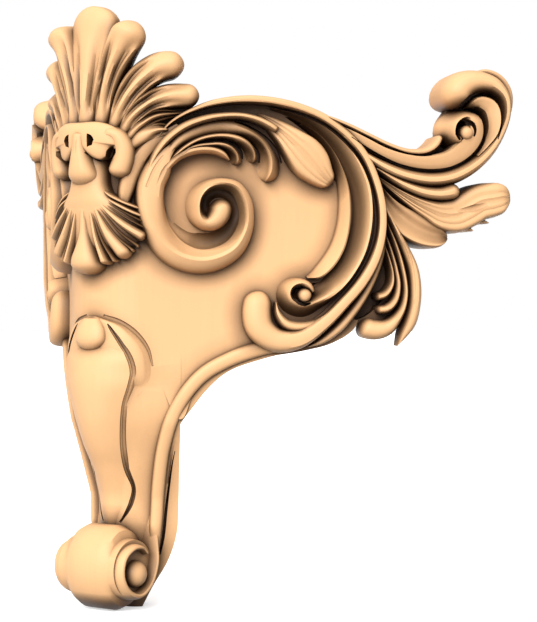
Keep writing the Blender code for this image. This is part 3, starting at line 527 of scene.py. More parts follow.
# The big C-scroll round the wing's outer side: a rim, a broad cove and an inner lip, one inside the other,
# its two rolled ends below, and the long leaf that springs from the fingers. The cuts between them are deep.
c_scroll = [
    band("scroll rim", wing_place, [
        (43.5, 111.8, 0.8, 8), (48.5, 118, 1.8, 9.4), (55.3, 122.9, 2.4, 10.4), (64.8, 127.3, 3.2, 11),
        (72, 129.6, 4, 11.6), (82.4, 131.4, 4.6, 12), (92.6, 131.9, 5, 12.5), (105.3, 130.9, 5, 13),
        (118.8, 127.8, 5, 13), (132.3, 122.2, 5, 13), (144.5, 113.3, 5, 13), (153.6, 102.8, 5.2, 13),
        (159.4, 90.3, 5.4, 13), (163, 76, 5.6, 13), (163, 61, 6, 13), (159.4, 47.4, 6.6, 13),
        (152.4, 35, 7.2, 13), (143, 24, 7.6, 12), (132, 13, 9, 11), (119, 4.5, 11.4, 11),
        (106.5, 4, 14, 11, 0.5), (98.5, 10, 16, 11, 1), (96.5, 19, 16, 10.5, 1),
        (98.5, 30, 14.5, 9, 1)], (STEM, ROLL), root=BACK_OF_WING, caps=(0, 7)),
    band("scroll cove", wing_place, [
        (104, 127.4, 0.8, 7), (112, 125.4, 2.6, 8), (125.5, 120.1, 6, 9), (133.6, 113.9, 9, 10.5),
        (141.8, 105.6, 10.6, 11), (147.8, 95.5, 11, 11.5), (151.8, 85.1, 10.8, 11.5),
        (153.2, 74.6, 10.8, 11.5), (152.4, 63.2, 11, 11.5), (149, 51.2, 11.4, 11), (142.3, 40.2, 12, 11),
        (134.6, 31, 12.6, 11, 0.3), (127.4, 25.5, 12.2, 11, 0.7), (120.4, 22.4, 13, 11.5, 1),
        (114.2, 24.8, 12, 11.5, 1), (112.8, 29.2, 11, 11.5, 1.1), (114.8, 32.9, 8.6, 11.5, 1.2),
        (119.6, 34.4, 6, 11.5, 1.6), (124, 32.6, 4.6, 11, 2), (126.6, 29, 2.6, 9, 2)],
        (EDGE_LEFT, CONE_LEFT, ROLL), caps=(0, 1)),
    band("inner lip", wing_place, [
        (120.3, 119.3, 0.9, 6), (128.9, 113.1, 2.6, 7), (135.8, 104.6, 3.5, 8), (140.4, 94.9, 4.5, 8.5),
        (143.1, 85.3, 5.6, 9), (143.9, 75.6, 6.2, 9), (143.1, 64.6, 6.9, 9), (140, 53.5, 7.7, 9),
        (134.7, 44.8, 7.8, 8.5), (128.9, 39.3, 6, 7.5), (123.5, 37.3, 1, 6)], (SLOPE_LEFT,)),
    band("hook crescent", wing_place, [
        (106.3, 24.1, 0.9, 7), (107.5, 17.7, 4.6, 9), (112, 12.2, 6.6, 10), (118.9, 10.8, 6.6, 10),
        (126.5, 12.6, 4.4, 9), (134.3, 16.7, 0.9, 7)], (ROLL,)),
    band("rim fillet", wing_place, [
        (166.4, 63.9, 1.1, 4), (164.6, 52.7, 3.8, 6), (160.6, 40.7, 5, 7), (155.4, 30, 5.4, 7.5),
        (149, 20, 5.6, 7.5), (141, 10.6, 5.6, 7.5), (132, 3.6, 4, 6),
        (124, 0, 0.8, 4)], (ROLL,), root=BACK_OF_WING),
    button("lower eye", wing_place, 121.4, 27.8, 3.7, 12),
]
long_leaf = [(97, 124.4, 1.5, 5), (102, 120.6, 6.5, 8), (110.7, 113.7, 13, 11.4), (116.3, 108.4, 17.5, 12.4),
             (121.2, 103.6, 21, 12.4), (126.2, 98, 20.6, 12), (131.4, 92, 14.6, 11), (136.6, 87.2, 7, 9)]
c_scroll += [band("long leaf", wing_place, long_leaf, (BLADE,), caps=(0, 3), points=VEIN_POINTS)]
scroll_hollows = [
    rod("hollow inside rim", wing_place, [
        (60, 122.8, -1.5, 0.8), (68, 126, -2.5, 2), (77, 127.8, -3, 2.8), (86, 128.2, -3.5, 3.2),
        (97, 127, -4, 3.6), (108, 124.8, -4, 3.8), (118, 121, -4, 4.4), (127.5, 114.8, -4, 4.6),
        (135, 106, -4, 4.2), (139, 97, -3, 3.6), (141, 90, 2, 2.6)]),
    rod("hollow inside cove", wing_place, [
        (131, 113.6, -2, 2), (139, 104.6, -3, 2.6), (144.6, 93, -3, 2.8), (147.2, 80, -3, 3),
        (147.6, 67, -3, 3), (144.8, 54, -3, 3), (139, 43.5, -3, 3), (131.5, 35.5, -3, 3),
        (124.5, 32.4, -2, 2.4)]),
]
scroll_grooves = [
    slot("groove inside rim", wing_place, [
        (104, 128.2, 0.8), (118.4, 125, 1.5), (131, 119.7, 1.9), (142.6, 110.7, 2.1), (151.3, 100.2, 2.2),
        (156.8, 88.5, 2.3), (159.9, 75.8, 2.4), (159.9, 61.4, 2.4), (156, 48.8, 2.4), (149.2, 37.1, 2.4),
        (140, 26.4, 2.2), (129.4, 16.8, 2.2), (119.5, 14.6, 2), (112, 16.4, 1.6), (109.4, 20, 1)], 2),
    slot("lower eye groove", wing_place, [
        (124.6, 23.6, 1), (121.2, 22.8, 1.8), (117.4, 24.4, 2.4), (116.2, 28, 2.8), (117.4, 31.4, 2.2),
        (120, 32.6, 1)], 3),
]

# The branch that leaves the C-scroll at the top and rolls up into the end scroll. It is one wood with the
# wing and stands proud of all else on it, with a button left in the middle of the roll.
end_scroll = [
    band("branch edge", wing_place, [
        (129, 124.8, 0.5, 11), (136, 122, 2.4, 13.5), (146, 117.8, 3.2, 14), (156.8, 112.6, 3.4, 14.5),
        (167.6, 107.6, 3.6, 14.5), (178.5, 104.4, 4.4, 13.5), (187.5, 105, 5, 13), (193, 108.8, 5.4, 13),
        (195.6, 113.8, 3.4, 12.5)],
        (ROLL,), root=BACK_OF_WING, caps=(0, 2)),
    band("branch cove", wing_place, [
        (141, 117.6, 1, 12), (150, 111.8, 5, 13.4), (161.9, 105.2, 6.8, 14), (171.9, 101.3, 7.6, 14.4),
        (181.7, 99, 8.2, 14.8), (191.6, 98.9, 9.4, 15.4), (200.4, 101.1, 10.9, 16), (208.2, 107, 12.5, 17.5),
        (212.7, 113.8, 11.3, 19), (212.4, 120.6, 9.7, 20), (207.8, 123.6, 9, 20, 0.6),
        (202.4, 121, 11, 20, 1), (200.4, 116, 12, 20, 1), (202.2, 111.8, 10, 20, 1.3),
        (206, 110.8, 8.4, 19, 2)],
        (TILTED, CONE_RIGHT, ROLL), caps=(0, 2)),
    band("end roll", wing_place, [
        (142, 113, 1, 11), (155.2, 102.2, 4.6, 13), (166, 95.9, 7, 14), (176.9, 91.8, 8, 14.6),
        (189.8, 89.8, 8.8, 15), (200.8, 91.3, 8.8, 15.4), (212.3, 97.1, 8.4, 16), (221.3, 105.3, 7.4, 16.5),
        (227.4, 115.1, 6.2, 17), (230.6, 125.1, 5.8, 17.5), (229.8, 133.9, 6.8, 17.5),
        (224.4, 140.3, 10.1, 17), (217.5, 142.3, 12.6, 17), (211.2, 141.8, 15, 17.5),
        (206.2, 139.2, 17.4, 18), (203.4, 134.6, 18.2, 18),
        (202.8, 128, 18, 17)], (ROLL,), root=BACK_OF_WING, caps=(0, 9)),
    band("roll's outer edge", wing_place, [
        (213, 147, 1, 6), (221, 148.2, 4, 7), (228.5, 145, 5, 7), (233.4, 138, 5, 7), (234.2, 130, 4, 7),
        (231.6, 121, 3.4, 6.5), (227, 111, 1, 6)], (ROLL,), root=BACK_OF_WING),
    band("end crescent", wing_place, [
        (210, 128.8, 2, 17), (214.8, 131, 6.7, 18.5), (220.9, 128.4, 9.3, 18.5), (223, 122, 8.6, 18.5),
        (222.4, 115.1, 6.6, 17.5), (219.2, 109.2, 4.3, 15.5),
        (214.3, 102.7, 1.4, 15)], (TILTED,), caps=(3, 0)),
    button("end eye", wing_place, 207.6, 114.7, 3.8, 20.5),
]
end_grooves = [
    slot("groove under edge", wing_place, [
        (142, 118.2, 0.4), (155, 111.6, 0.7), (166, 106.3, 0.9), (178, 103.1, 1), (188.5, 103, 1.2),
        (195.5, 106.8, 1.4), (197.6, 110, 1.2)], 5),
    slot("groove over roll", wing_place, [
        (146, 112.2, 0.4), (156, 105.8, 0.7), (166, 100.4, 0.8), (176, 96.6, 0.8), (188, 94.3, 1),
        (198, 95.4, 1.4), (207.4, 99.3, 1.8), (214.4, 104.8, 1.8), (218.2, 111.4, 1.4), (218.7, 119, 1)], 6),
    slot("end eye groove", wing_place, [
        (203.8, 110.6, 1), (202.2, 113.6, 2.2), (203, 117.6, 3), (206.6, 120.2, 3.2), (210.6, 119, 2.6),
        (212.2, 115.4, 1.6), (211.6, 112.6, 1)], 12),
    slot("groove round crescent", wing_place, [
        (205.4, 129.4, 1.6), (211, 134.2, 2.6), (217.4, 135.4, 2), (223.2, 132.9, 1.2), (226.8, 127, 0.8),
        (227.2, 119, 0.7), (225, 111.2, 0.5)], 8),
]

# The leaves under the branch, and the curled tips that hang outside the C-scroll. They are carved from the
# wing's wood, and the ground between the curled tips is sunk to a deep floor.
HOLLOW_FLOOR = -12
leaves = [
    band("upper leaf", wing_place, [
        (160, 95.6, 1.4, 12), (170.5, 89.4, 4.4, 13.4), (178.4, 85.6, 6.2, 14.4), (186.4, 83, 7.6, 15),
        (194.5, 82.2, 8.4, 15.4), (200.6, 83.2, 9.6, 15.6), (206, 85.2, 9.6, 15)],
        (ROLL,), root=BACK_OF_WING, caps=(0, 4.7)),
    band("broad leaf", wing_place, [
        (161.5, 90.6, 1.6, 9), (169.3, 84.9, 3.6, 10), (175.3, 80.8, 5.6, 12), (182.6, 76.6, 8.4, 12.6),
        (189.6, 73.4, 11.8, 12.6), (196.1, 71, 16.4, 12.4), (204.1, 70.8, 19.4, 12), (210.4, 73.8, 20.4, 12),
        (217.3, 77.8, 20.2, 12), (224.4, 79.2, 19.2, 12), (230.2, 80.4, 17, 11.5), (235, 80.8, 14, 10.5)],
        (BLADE,), root=BACK_OF_WING, caps=(0, 7), points=VEIN_POINTS),
    band("lower leaf", wing_place, [
        (163.6, 85, 1.4, 9), (167, 78, 7.1, 10), (171.3, 72, 12.3, 10.6), (177.3, 66.4, 16.7, 10.6),
        (185.5, 61.7, 16.2, 10.4), (194.3, 59.2, 12.6, 9.6), (200.5, 58.8, 7.6, 8.6)],
        (DISHED,), root=BACK_OF_WING, caps=(0, 6), points=VEIN_POINTS),
]
notches = [[(201.2, 66.7, 6.1, 8), (209.4, 64.3, 4.6, 8), (213.7, 62.6, 1, 7)],
           [(211.4, 69.7, 6.1, 8), (218.7, 67.8, 3.6, 7.5), (222.5, 66.8, 0.8, 7)]]
leaves += [band("leaf notch", wing_place, rows, (ROLL,), root=BACK_OF_WING) for rows in notches]
curls = [
    [(165.6, 74, 1, 10), (172.2, 60.6, 3.4, 12), (176.9, 51.7, 5, 12), (180.8, 41.8, 6.2, 12),
     (182.1, 31.9, 7, 12), (181.6, 21.9, 7.2, 11.4), (179.3, 13, 7.4, 10), (175.6, 6.2, 5, 8.5),
     (172.4, 0.4, 0.5, 6)],
    [(165.8, 68.1, 1, 8), (171.2, 55.2, 2.5, 9), (175.2, 42.3, 2.9, 9), (176.9, 29.9, 3.4, 9.5),
     (175.3, 21, 4.2, 10), (171.5, 14.5, 6.3, 10), (166.5, 10.1, 9.3, 10), (159.5, 9.1, 10.9, 10),
     (152.5, 11.6, 10.4, 9.5)],
    [(165.5, 61.7, 1.2, 6), (169, 51.7, 2.2, 7), (171.8, 41.8, 2.6, 7.5), (173.1, 32.9, 3.4, 8),
     (171.4, 24.9, 4.5, 8), (167.1, 20.5, 5.2, 8), (161.4, 19.8, 4.6, 7.5)],
    [(165.2, 55.7, 1, 5), (168.2, 46.8, 1.8, 6), (170, 38.8, 2.2, 6.5), (169.4, 32.9, 3, 7),
     (166, 28.1, 4.2, 7), (161.1, 26.7, 4.2, 6.5)],
]
curl_roots = ((BACK_OF_WING, -4), (BACK_OF_WING, -8), BACK_OF_WING, BACK_OF_WING)
leaves += [band("curled tip", wing_place, rows, (ROLL,), root=root, caps=(0, cap))
           for rows, cap, root in zip(curls, (0, 4, 2, 1.5), curl_roots)]
leaf_grooves = [
    rod("leaf hollow", wing_place, [
        (200, 73.6, 13, 0.8), (208, 73.4, 13, 2), (216, 75.2, 13, 2.4), (223, 78.4, 13, 1)]),
    rod("curl line", wing_place, [
        (173, 60.5, 12, 0.7), (177.4, 50, 12.2, 0.9), (180, 38, 12.2, 0.9), (180.4, 26, 12, 0.8)]),
]
hollow_edge = [(163.5, 63), (166.4, 54), (169.4, 45), (170.6, 36), (168, 28), (163, 21.5), (156, 16),
               (150, 14.6), (150, 19), (155.6, 26), (160, 34), (163, 44), (163.6, 54)]
leaf_hollows = [slab("hollow in curls", wing_place, smooth_line(hollow_edge, 4), HOLLOW_FLOOR, CUT_TOP)]

# The palmette on the carcass corner: lobes that fan out behind the cartouche, each split by two flutes that
# fade towards its smooth rolled tip. The tips lean forward.
LOBE = ((-1, 0), (-0.94, 0.5), (-0.8, 0.82), (-0.62, 0.88), (-0.42, 0.56), (-0.2, 0.92), (0, 1), (0.2, 0.92),
        (0.42, 0.56), (0.62, 0.86), (0.8, 0.82), (0.94, 0.5), (1, 0))
LOBE_POINTS = 25
palmette_lobes = [
    ([(7.5, 112, 6.4, 8.5), (8.2, 121, 8, 8.8), (9.9, 134, 10, 9.2, 0.7), (12.9, 146.5, 13, 10, 1),
      (17.2, 158, 16.2, 11.5, 1.4), (22, 167, 18, 14.6, 2), (25, 172.4, 17.4, 16, 2)], 9),
    ([(12.5, 112, 5, 8.5), (14.5, 118.4, 6.6, 8.8), (17.8, 127.2, 10, 9.2, 0.6), (22.4, 136, 13.4, 10, 1),
      (28.7, 143.9, 15.8, 11.5, 1.3), (37, 149, 16, 13.5, 1.8), (49.8, 150.4, 13.6, 14.5, 2)], 7),
    ([(16.5, 110, 4, 8.5), (18.6, 114.2, 5.6, 8.8), (23, 122, 9, 9.6, 0.6), (30, 128.9, 12, 10.5, 1),
      (40, 133, 13.6, 12, 1.6), (57.8, 133.8, 12.6, 13.5, 2)], 6.4),
    ([(19, 108, 4, 8.5), (21.5, 111.5, 5, 9), (27, 118, 7.4, 9.6, 0.6), (34.5, 122.4, 7.6, 10, 1),
      (49, 124.3, 2, 10, 1)], 1),
    ([(19, 105, 5, 8.5), (23, 107.5, 6.4, 9), (28, 112, 9.4, 9.8), (35, 115, 9.6, 10, 0.6),
      (42, 115.4, 6, 9.4, 1)], 2.5),
]
PALMETTE_BACK = -13.0
palmette = [band("palmette lobe", corner_place, rows, (ROLL, LOBE, ROLL), root=(PALMETTE_BACK, -6),
                 caps=(0, cap), points=LOBE_POINTS) for rows, cap in palmette_lobes]
centre_lobe = band("centre lobe", corner_place, [
    (0, 112, 9, 8.2), (0, 121, 10.2, 9.6), (0, 130, 13.4, 10.2, 0.8), (0, 142, 20, 9.4, 1),
    (0, 158, 26.6, 7.8, 1.3), (0, 170, 30, 6.2, 1.8), (0, 182.2, 30, 5.6, 2)],
    (ROLL, LOBE, ROLL), root=(PALMETTE_BACK, -4), caps=(0, 12), points=LOBE_POINTS)


# The cartouche that ties the palmette to the fan: a domed head whose two arms hook round, with two pierced
# eyes, a long drop between them, and the neck that spreads below into the fan.
def pillow(name, place, outline, middle, edge, top):
    """A domed body over a closed outline, rising from the height at its edge to the top over its middle."""
    outline = np.array(outline, float)
    turn = np.linspace(0, DOME_END, 9)
    levels = [(1, CARVING_ROOT)] + [(math.cos(t), edge + (top - edge) * math.sin(t)) for t in turn]
    return loft(name, [place(*(middle + (outline - middle) * share).T, out) for share, out in levels])


head_edge = [(0, 119.6), (8.7, 119.5), (15.6, 116.8), (20.3, 111.5), (20.5, 106.8), (14.4, 106.2),
             (12.8, 101.7), (9.9, 99.6), (6.5, 100.6), (3.2, 104)]
head_edge = smooth_line(
    [*head_edge, (0, 105.5), *((-girth, up) for girth, up in head_edge[:0:-1]), head_edge[0]], per_span=5)
head = pillow("head", corner_place, head_edge[:-1], middle=np.array([0, 110.5]), edge=10.5, top=13.8)
cartouche = [
    band("cartouche arm", corner_place, [
        (10.5, 114.6, 7, 13), (16.4, 112.4, 9, 13.4), (19.2, 106.5, 10, 13.4), (19.2, 100, 10.8, 13.2),
        (17.4, 93.6, 11.4, 12.8), (16.6, 89.6, 10.6, 12)], (ROLL,), caps=(3, 4.6)),
]
cartouche_middle = [
    head,
    band("drop", corner_place, [
        (0, 115, 7.5, 14.6), (0, 107, 8.6, 15.6), (0, 99, 12, 16), (0, 92, 16, 15.6), (0, 84, 15.5, 13)],
        (ROLL,), caps=(2, 8)),
    band("neck", corner_place, [
        (0, 104, 20, 9), (0, 92, 21.5, 10.4), (0, 87, 22.2, 11), (0, 82.4, 26, 11.2), (0, 78, 36, 11),
        (0, 74, 50, 10.2), (0, 68, 58, 9.2), (0, 60, 56, 8.4), (0, 50, 44, 7)],
        (ROLL,), caps=(0, 5), points=BROAD_POINTS),
]
cartouche_grooves = [
    slab("eye", corner_place, [(4.7, 113.4), (6.6, 112.5), (7.9, 109.9), (6.9, 107.1),
                               (4.7, 106.2)], 1, CUT_TOP),
    slot("hook groove", corner_place, [
        (9.8, 98.6, 0.7), (12.6, 100.8, 1.2), (13.6, 104, 1.8), (15.3, 105.4, 2), (16, 103.6, 1.8),
        (14.4, 100.6, 1.4), (12.4, 97, 1.1), (11.9, 92.4, 1.1), (12.8, 87.5, 0.9)], 4),
    slot("moustache groove", corner_place, [(3.4, 103.4, 0.5), (6.6, 99.8, 0.9), (9.8, 98.6, 1)], 6),
    rod("bridge crease", corner_place, [(-1.5, 115, 14.9, 0.3), (-0.6, 109, 15.8, 0.7),
                                        (-0.8, 101, 16.2, 0.3)]),
    rod("arm crease", corner_place, [(15, 114, 13.6, 0.3), (17.6, 109.6, 14, 0.6), (18.2, 103, 13.8, 0.3)]),
]

# The fan below the neck: broad flutes with rolled tips, and thin ribs between them. They rise slowly out of
# the neck, which runs on under them as their ground.
fan = [band("fan flute", corner_place, rows, (ROLL,), caps=(0, cap)) for rows, cap in (
    ([(2.2, 81, 1.6, 9.8), (4.4, 71, 2.8, 10), (7, 57.5, 3.6, 10.6), (11.3, 44.2, 5, 11.4)], 2),
    ([(3.6, 82, 1.8, 9.8), (7.3, 72.5, 3.6, 10.2), (12.9, 59.7, 6.4, 11.4), (21, 47.8, 8.6, 12.6)], 4),
    ([(4.8, 82.6, 1.8, 9.6), (11, 74, 3.6, 10.2), (19.6, 65, 5.2, 11.2), (29, 57.8, 6.4, 12)], 3),
    ([(8, 82, 2, 7), (15.4, 76.6, 2.8, 10), (22.6, 72, 3, 10), (29.6, 68.8, 3.2, 9.6)], 1.5),
    ([(9, 84, 2, 7), (13, 80.8, 2.4, 9.6), (19, 77, 2.6, 9.6), (27, 73.4, 2.6, 9.2)], 1.2),
)]
fan += [band("fan rib", corner_place, rows, (ROLL,), caps=(0, 0.8), points=9) for rows in (
    [(3, 79.6, 0.9, 9.4), (6.2, 69, 1.4, 9.7), (10, 56, 1.8, 9.8), (15.6, 45.6, 2.4, 10.4)],
    [(4.2, 80.6, 0.9, 9.4), (9.3, 71, 1.4, 9.9), (16, 59.2, 1.6, 9.8), (23.8, 51, 1.9, 10.4)],
    [(4.8, 80.6, 0.9, 9.4), (10.3, 72, 1.4, 9.9), (17.8, 61, 1.6, 9.8), (26, 53.4, 1.9, 10.4)],
    [(6.6, 80.6, 1.2, 7), (13.3, 74.5, 1.4, 9.8), (21.3, 68, 1.5, 9.6), (29.4, 62.8, 1.7, 10)],
    [(7.2, 81.4, 1.2, 7), (14.3, 75.6, 1.4, 9.8), (22.2, 70, 1.5, 9.6), (29.6, 65.6, 1.7, 10)],
)]
fan_middle = band("fan middle", corner_place, [
    (0, 84, 2, 9.8), (0, 71, 5, 10.2), (0, 60, 7.4, 10.6), (0, 53, 12, 12), (0, 46.8, 16.4, 13.4),
    (0, 38.8, 17, 12.6)], (ROLL,), caps=(0, 6))


# The knee: a long pad that swells over the front of the leg, a raised shoulder behind it and a round tongue.
# A deep groove follows each edge of the pad down to the foot.
KNEE_BACK = -45
GROOVE_DEEPER = 1.3
GROOVE_NARROWER = 0.85


def across_diagonal(across, reach, up):
    """A point at a place across the diagonal plane, reaching out along it from the carcass corner."""
    across, reach, up = np.broadcast_arrays(across, reach, up)
    return np.stack([(across - reach) / math.sqrt(2) - CORNER_TO_FRAME,
                     (-across - reach) / math.sqrt(2) - CORNER_TO_FRAME, up], axis=-1)


def knee():
    """The knee's pad through levels of up, half its width, its front and how far its edges fall back."""
    levels = [(7, 8, -16, 1), (4, 13, -13.6, 3), (0, 18, -10.6, 6), (-6, 22.5, -7.8, 9.4),
              (-13, 23.4, -6.6, 11.2), (-20, 22.2, -6.2, 10.6), (-30, 18.8, -6.9, 9.8),
              (-41, 16.2, -8.8, 9.4), (-54, 13.6, -13.4, 8), (-65, 11.8, -19.1, 7), (-79, 12, -25, 7.6),
              (-86, 9.6, -26, 5), (-93, 4.5, -26, 2), (-100, 2, -26.5, 1)]
    side = np.linspace(-1, 1, BROAD_POINTS)
    rings = []
    for up, half_width, front, fall in smooth_line(levels, per_span=8):
        across = np.concatenate([half_width * side, [half_width, -half_width]])
        reach = np.concatenate([front - fall * side ** 2, [KNEE_BACK, KNEE_BACK]])
        rings.append(across_diagonal(across, reach, up))
    return loft("knee pad", rings)


def beside_diagonal(across, up, reach):
    """The same point, for the bands and rods that take along, up and out."""
    return across_diagonal(across, reach, up)


knee_front = [
    knee(),
    band("shoulder", corner_place, [
        (0, 16.4, 6, 2.4), (0, 13, 30, 3.2), (0, 7, 47, 3.8), (0, -1, 60, 4), (0, -10, 65, 3.6),
        (0, -18, 63, 1.8), (0, -25, 52, -2.8), (0, -32, 38, -9)], (STEM,), points=BROAD_POINTS),
    band("tongue", corner_place, [(0, 15.4, 11, 5), (0, 10.5, 17.5, 7.4), (0, 5, 19.4, 8.6),
                                  (0, -2.6, 18, 8.4)],
         (ROLL,), caps=(0, 8)),
]
knee_line = [
    (9.6, 13.4, -14, 0.6), (13.4, 9, -13.9, 1), (18, 2.6, -15.3, 1.4), (22.2, -5, -17.2, 1.5),
    (23.8, -13, -18.4, 1.5), (22.4, -20.6, -17.6, 1.4), (19.2, -30, -17.2, 1.4), (16.5, -41, -18.6, 1.4),
    (14, -54, -21.8, 1.5), (12.2, -65, -26.6, 1.5), (12.6, -76, -32.1, 1.5), (11.2, -84, -31.8, 1.4),
    (8.6, -90, -30.6, 1.3), (5.8, -95, -29, 0.9)]
knee_grooves = [
    rod("knee groove", beside_diagonal, knee_line),
    rod("knee groove's bottom", beside_diagonal, [
        (across, up, reach - GROOVE_DEEPER, radius * GROOVE_NARROWER)
        for across, up, reach, radius in knee_line]),
    rod("hood line", corner_place, [
        (6, 17, 0.2, 0.7), (15.5, 14, 0.2, 1.1), (24.2, 8, 0.2, 1.2), (30.6, -0.6, 0.2, 1),
        (33.2, -10, 0.2, 0.5)]),
]


# The rolled foot: a barrel across the diagonal with a drum at each end, flattened where it stands. A ring and
# an eye are carved on the end of each drum.
FOOT_AXIS_HEIGHT = 23.5
FOOT_AXIS_REACH = -23.0
FOOT_ROOT = 8
FOOT_SIDES = 48


def foot():
    """The foot's roll through rings of place across the diagonal, depth and height from its axis."""
    half = [(20, 15.6, 15.6), (15.5, 15.6, 16.2), (14, 16, 20.5), (9, 18.5, 22.8)]
    profile = [(-across, *radii) for across, *radii in half] + half[::-1]
    angles = np.linspace(0, 2 * math.pi, FOOT_SIDES + 1)[:-1]
    rings = []
    for across, deep, high in profile:
        up = np.maximum(SOLE + FOOT_AXIS_HEIGHT + high * np.sin(angles), SOLE)
        rings.append(across_diagonal(across, FOOT_AXIS_REACH + deep * np.cos(angles), up))
    return loft("foot roll", rings)


def foot_place(reach, up, across):
    """A point on the end of the foot's roll, which faces along the line across the diagonal plane."""
    return across_diagonal(across, reach, up)


foot_volute = [
    band("foot ring", foot_place, [
        (-39.8, -88, 2.6, 20), (-39.4, -98, 5.2, 22.6), (-39, -107, 6.2, 24), (-38.2, -116, 6.4, 25),
        (-33.5, -127, 6.6, 25), (-25, -132.6, 6.8, 25), (-15.6, -129.4, 6.6, 25), (-10.6, -121, 6.4, 25),
        (-12.4, -111.8, 6, 25), (-19.6, -107, 5.4, 25), (-27.4, -107.4, 4.6, 24.5), (-32, -111.4, 3.4, 24)],
        (ROLL,), root=FOOT_ROOT, caps=(0, 1.5)),
    button("foot eye", foot_place, -23.6, -121, 7.4, 27, root=FOOT_ROOT),
]


# The bead that follows the arch of the wing, runs down the leg and curls into the foot's volute. It is left
# standing on the same wood, with a narrow edge under the arch and a hollow beside the heel.
FACE_DEPTHS = (10, 41, 60, 82, 97, 130)
FACE_RECESSES = (0, 3.5, 8.5, 14, 14, 22)
LEG_EDGE = 50
WING_FOOT = 75
ARCH_EDGE_ROOT = -17
HEEL_FLOOR = -7


def leg_place(along, up, out):
    """A point on the leg's right front face, which falls back from the wing's ground as it goes down."""
    recess = np.interp(-up, FACE_DEPTHS, FACE_RECESSES)
    return wing_place(along, up, out - recess * np.interp(along, [LEG_EDGE, WING_FOOT], [1, 0]))


arch_bead = [
    band("arch bead", leg_place, [
        (128, 6.6, 0.8, 2), (118, 2.4, 5, 3.5), (98, -1, 8, 3.8), (82, -6.5, 8, 4), (68.5, -14, 8, 4),
        (59, -24, 8, 4), (51.5, -37, 8, 4), (47, -54, 7.6, 4), (45, -72, 7.4, 4), (44, -90, 7.2, 4),
        (43, -104, 6.6, 3.6), (42.6, -114, 5, 1)], (ROLL,)),
    band("arch edge", leg_place, [
        (110, -2.4, 3, 0.4), (98.5, -3.9, 5.8, 0.4), (83.6, -8.8, 5.8, 0.4), (75.5, -13.1, 6.6, 0.4),
        (66.5, -20.8, 7.8, 0.4), (59.2, -30.3, 7.6, 0.4), (54.6, -37.6, 6.2, 0.4), (52, -43.5, 5.2, 0.4),
        (50.6, -51, 4.6, 0.2), (49.6, -62, 3.6, -0.4), (49.2, -74, 1.6, -2)], (STEM,), root=ARCH_EDGE_ROOT),
]
heel_grooves = [
    slot("heel hollow", leg_place, [
        (53.4, -56, 0.4), (52.3, -62, 0.7), (50.8, -74, 1.2), (49, -90.5, 1.6), (47.6, -104, 1.7),
        (46, -113, 1.4)], HEEL_FLOOR),
]

# The whole piece. Everything is united with the leg, cut flush behind and finished as one body of light wood
# with a satin surface. Painted shade darkens its recesses towards dark brown.
PAST_WINGS = 400
PAST_TOP = 300
PAST_FOOT = 200
SHARP_ANGLE = math.radians(32)
FIBRES_PER_METRE = (420, 420, 22)
PALE_GRAIN = (0.6, 0.342, 0.165, 1)
WARM_GRAIN = (0.68, 0.396, 0.196, 1)
# The dark brown of the painted shade in the recesses, and how near and how strongly that shade is painted.
PAINTED_SHADE_TONE = (0.028, 0.01, 0.003, 1)
PAINTED_SHADE_REACH = 0.011
PAINTED_SHADE_POWER = 2.9
ROUGHNESS = 0.46
ROUGHER_FIBRES = 0.1


def mirrored(source):
    """The same body on the other side of the diagonal plane, with X and Y changed over."""
    mesh = source.data.copy()
    shape = bmesh.new()
    shape.from_mesh(mesh)
    for corner in shape.verts:
        corner.co.xy = corner.co.yx
    bmesh.ops.reverse_faces(shape, faces=shape.faces)
    shape.to_mesh(mesh)
    shape.free()
    return bpy.data.objects.new(source.name + " left", mesh)


def trimming_blocks():
    """What is cut away behind: the inside corner for the cabinet, and all below the sole."""
    inner = WING_THICKNESS - CORNER_TO_FRAME
    post_face = POST_SIDE - CORNER_TO_FRAME
    blocks = []
    far = (PAST_WINGS, PAST_WINGS, PAST_TOP)
    for name, low, high in (("inside corner", (inner, inner, 0), far),
                            ("behind right wing", (post_face, inner, -PAST_TOP), far),
                            ("behind left wing", (inner, post_face, -PAST_TOP), far),
                            ("below sole", (-PAST_FOOT, -PAST_FOOT, -PAST_TOP),
                             (PAST_FOOT, PAST_FOOT, SOLE))):
        corners = [[(low, high)[i][0], (low, high)[j][1], (low, high)[k][2]]
                   for k in (0, 1) for i, j in ((0, 0), (1, 0), (1, 1), (0, 1))]
        blocks.append(loft(name, [corners[:4], corners[4:]]))
    return blocks


def cut_and_join(carved, steps):
    """Unites or cuts the carved body with one group of bodies after another."""
    groups = []
    for operation, bodies in steps:
        group = bpy.data.collections.new(operation.lower())
        scene.collection.children.link(group)
        for item in bodies:
            group.objects.link(item)
        modifier = carved.modifiers.new(operation.lower(), "BOOLEAN")
        modifier.operation = operation
        modifier.operand_type = "COLLECTION"
        modifier.collection = group
        modifier.solver = "MANIFOLD"
        groups.append(group)
    bpy.context.view_layer.update()
    mesh = bpy.data.meshes.new_from_object(carved.evaluated_get(bpy.context.evaluated_depsgraph_get()))
    carved.modifiers.clear()
    carved.data = mesh
    for group in groups:
        for item in list(group.objects):
            bpy.data.objects.remove(item, do_unlink=True)
        bpy.data.collections.remove(group)


def keep_largest_part(shape):
    """Deletes the crumbs that the cuts leave loose and the pockets that they close in."""
    seen = set()
    parts = []
    for first in shape.verts:
        if first in seen:
            continue
        seen.add(first)
        part = [first]
        for corner in part:
            for edge in corner.link_edges:
                neighbour = edge.other_vert(corner)
                if neighbour not in seen:
                    seen.add(neighbour)
                    part.append(neighbour)
        parts.append(part)
    parts.sort(key=len)
    bmesh.ops.delete(shape, geom=[corner for part in parts[:-1] for corner in part], context="VERTS")


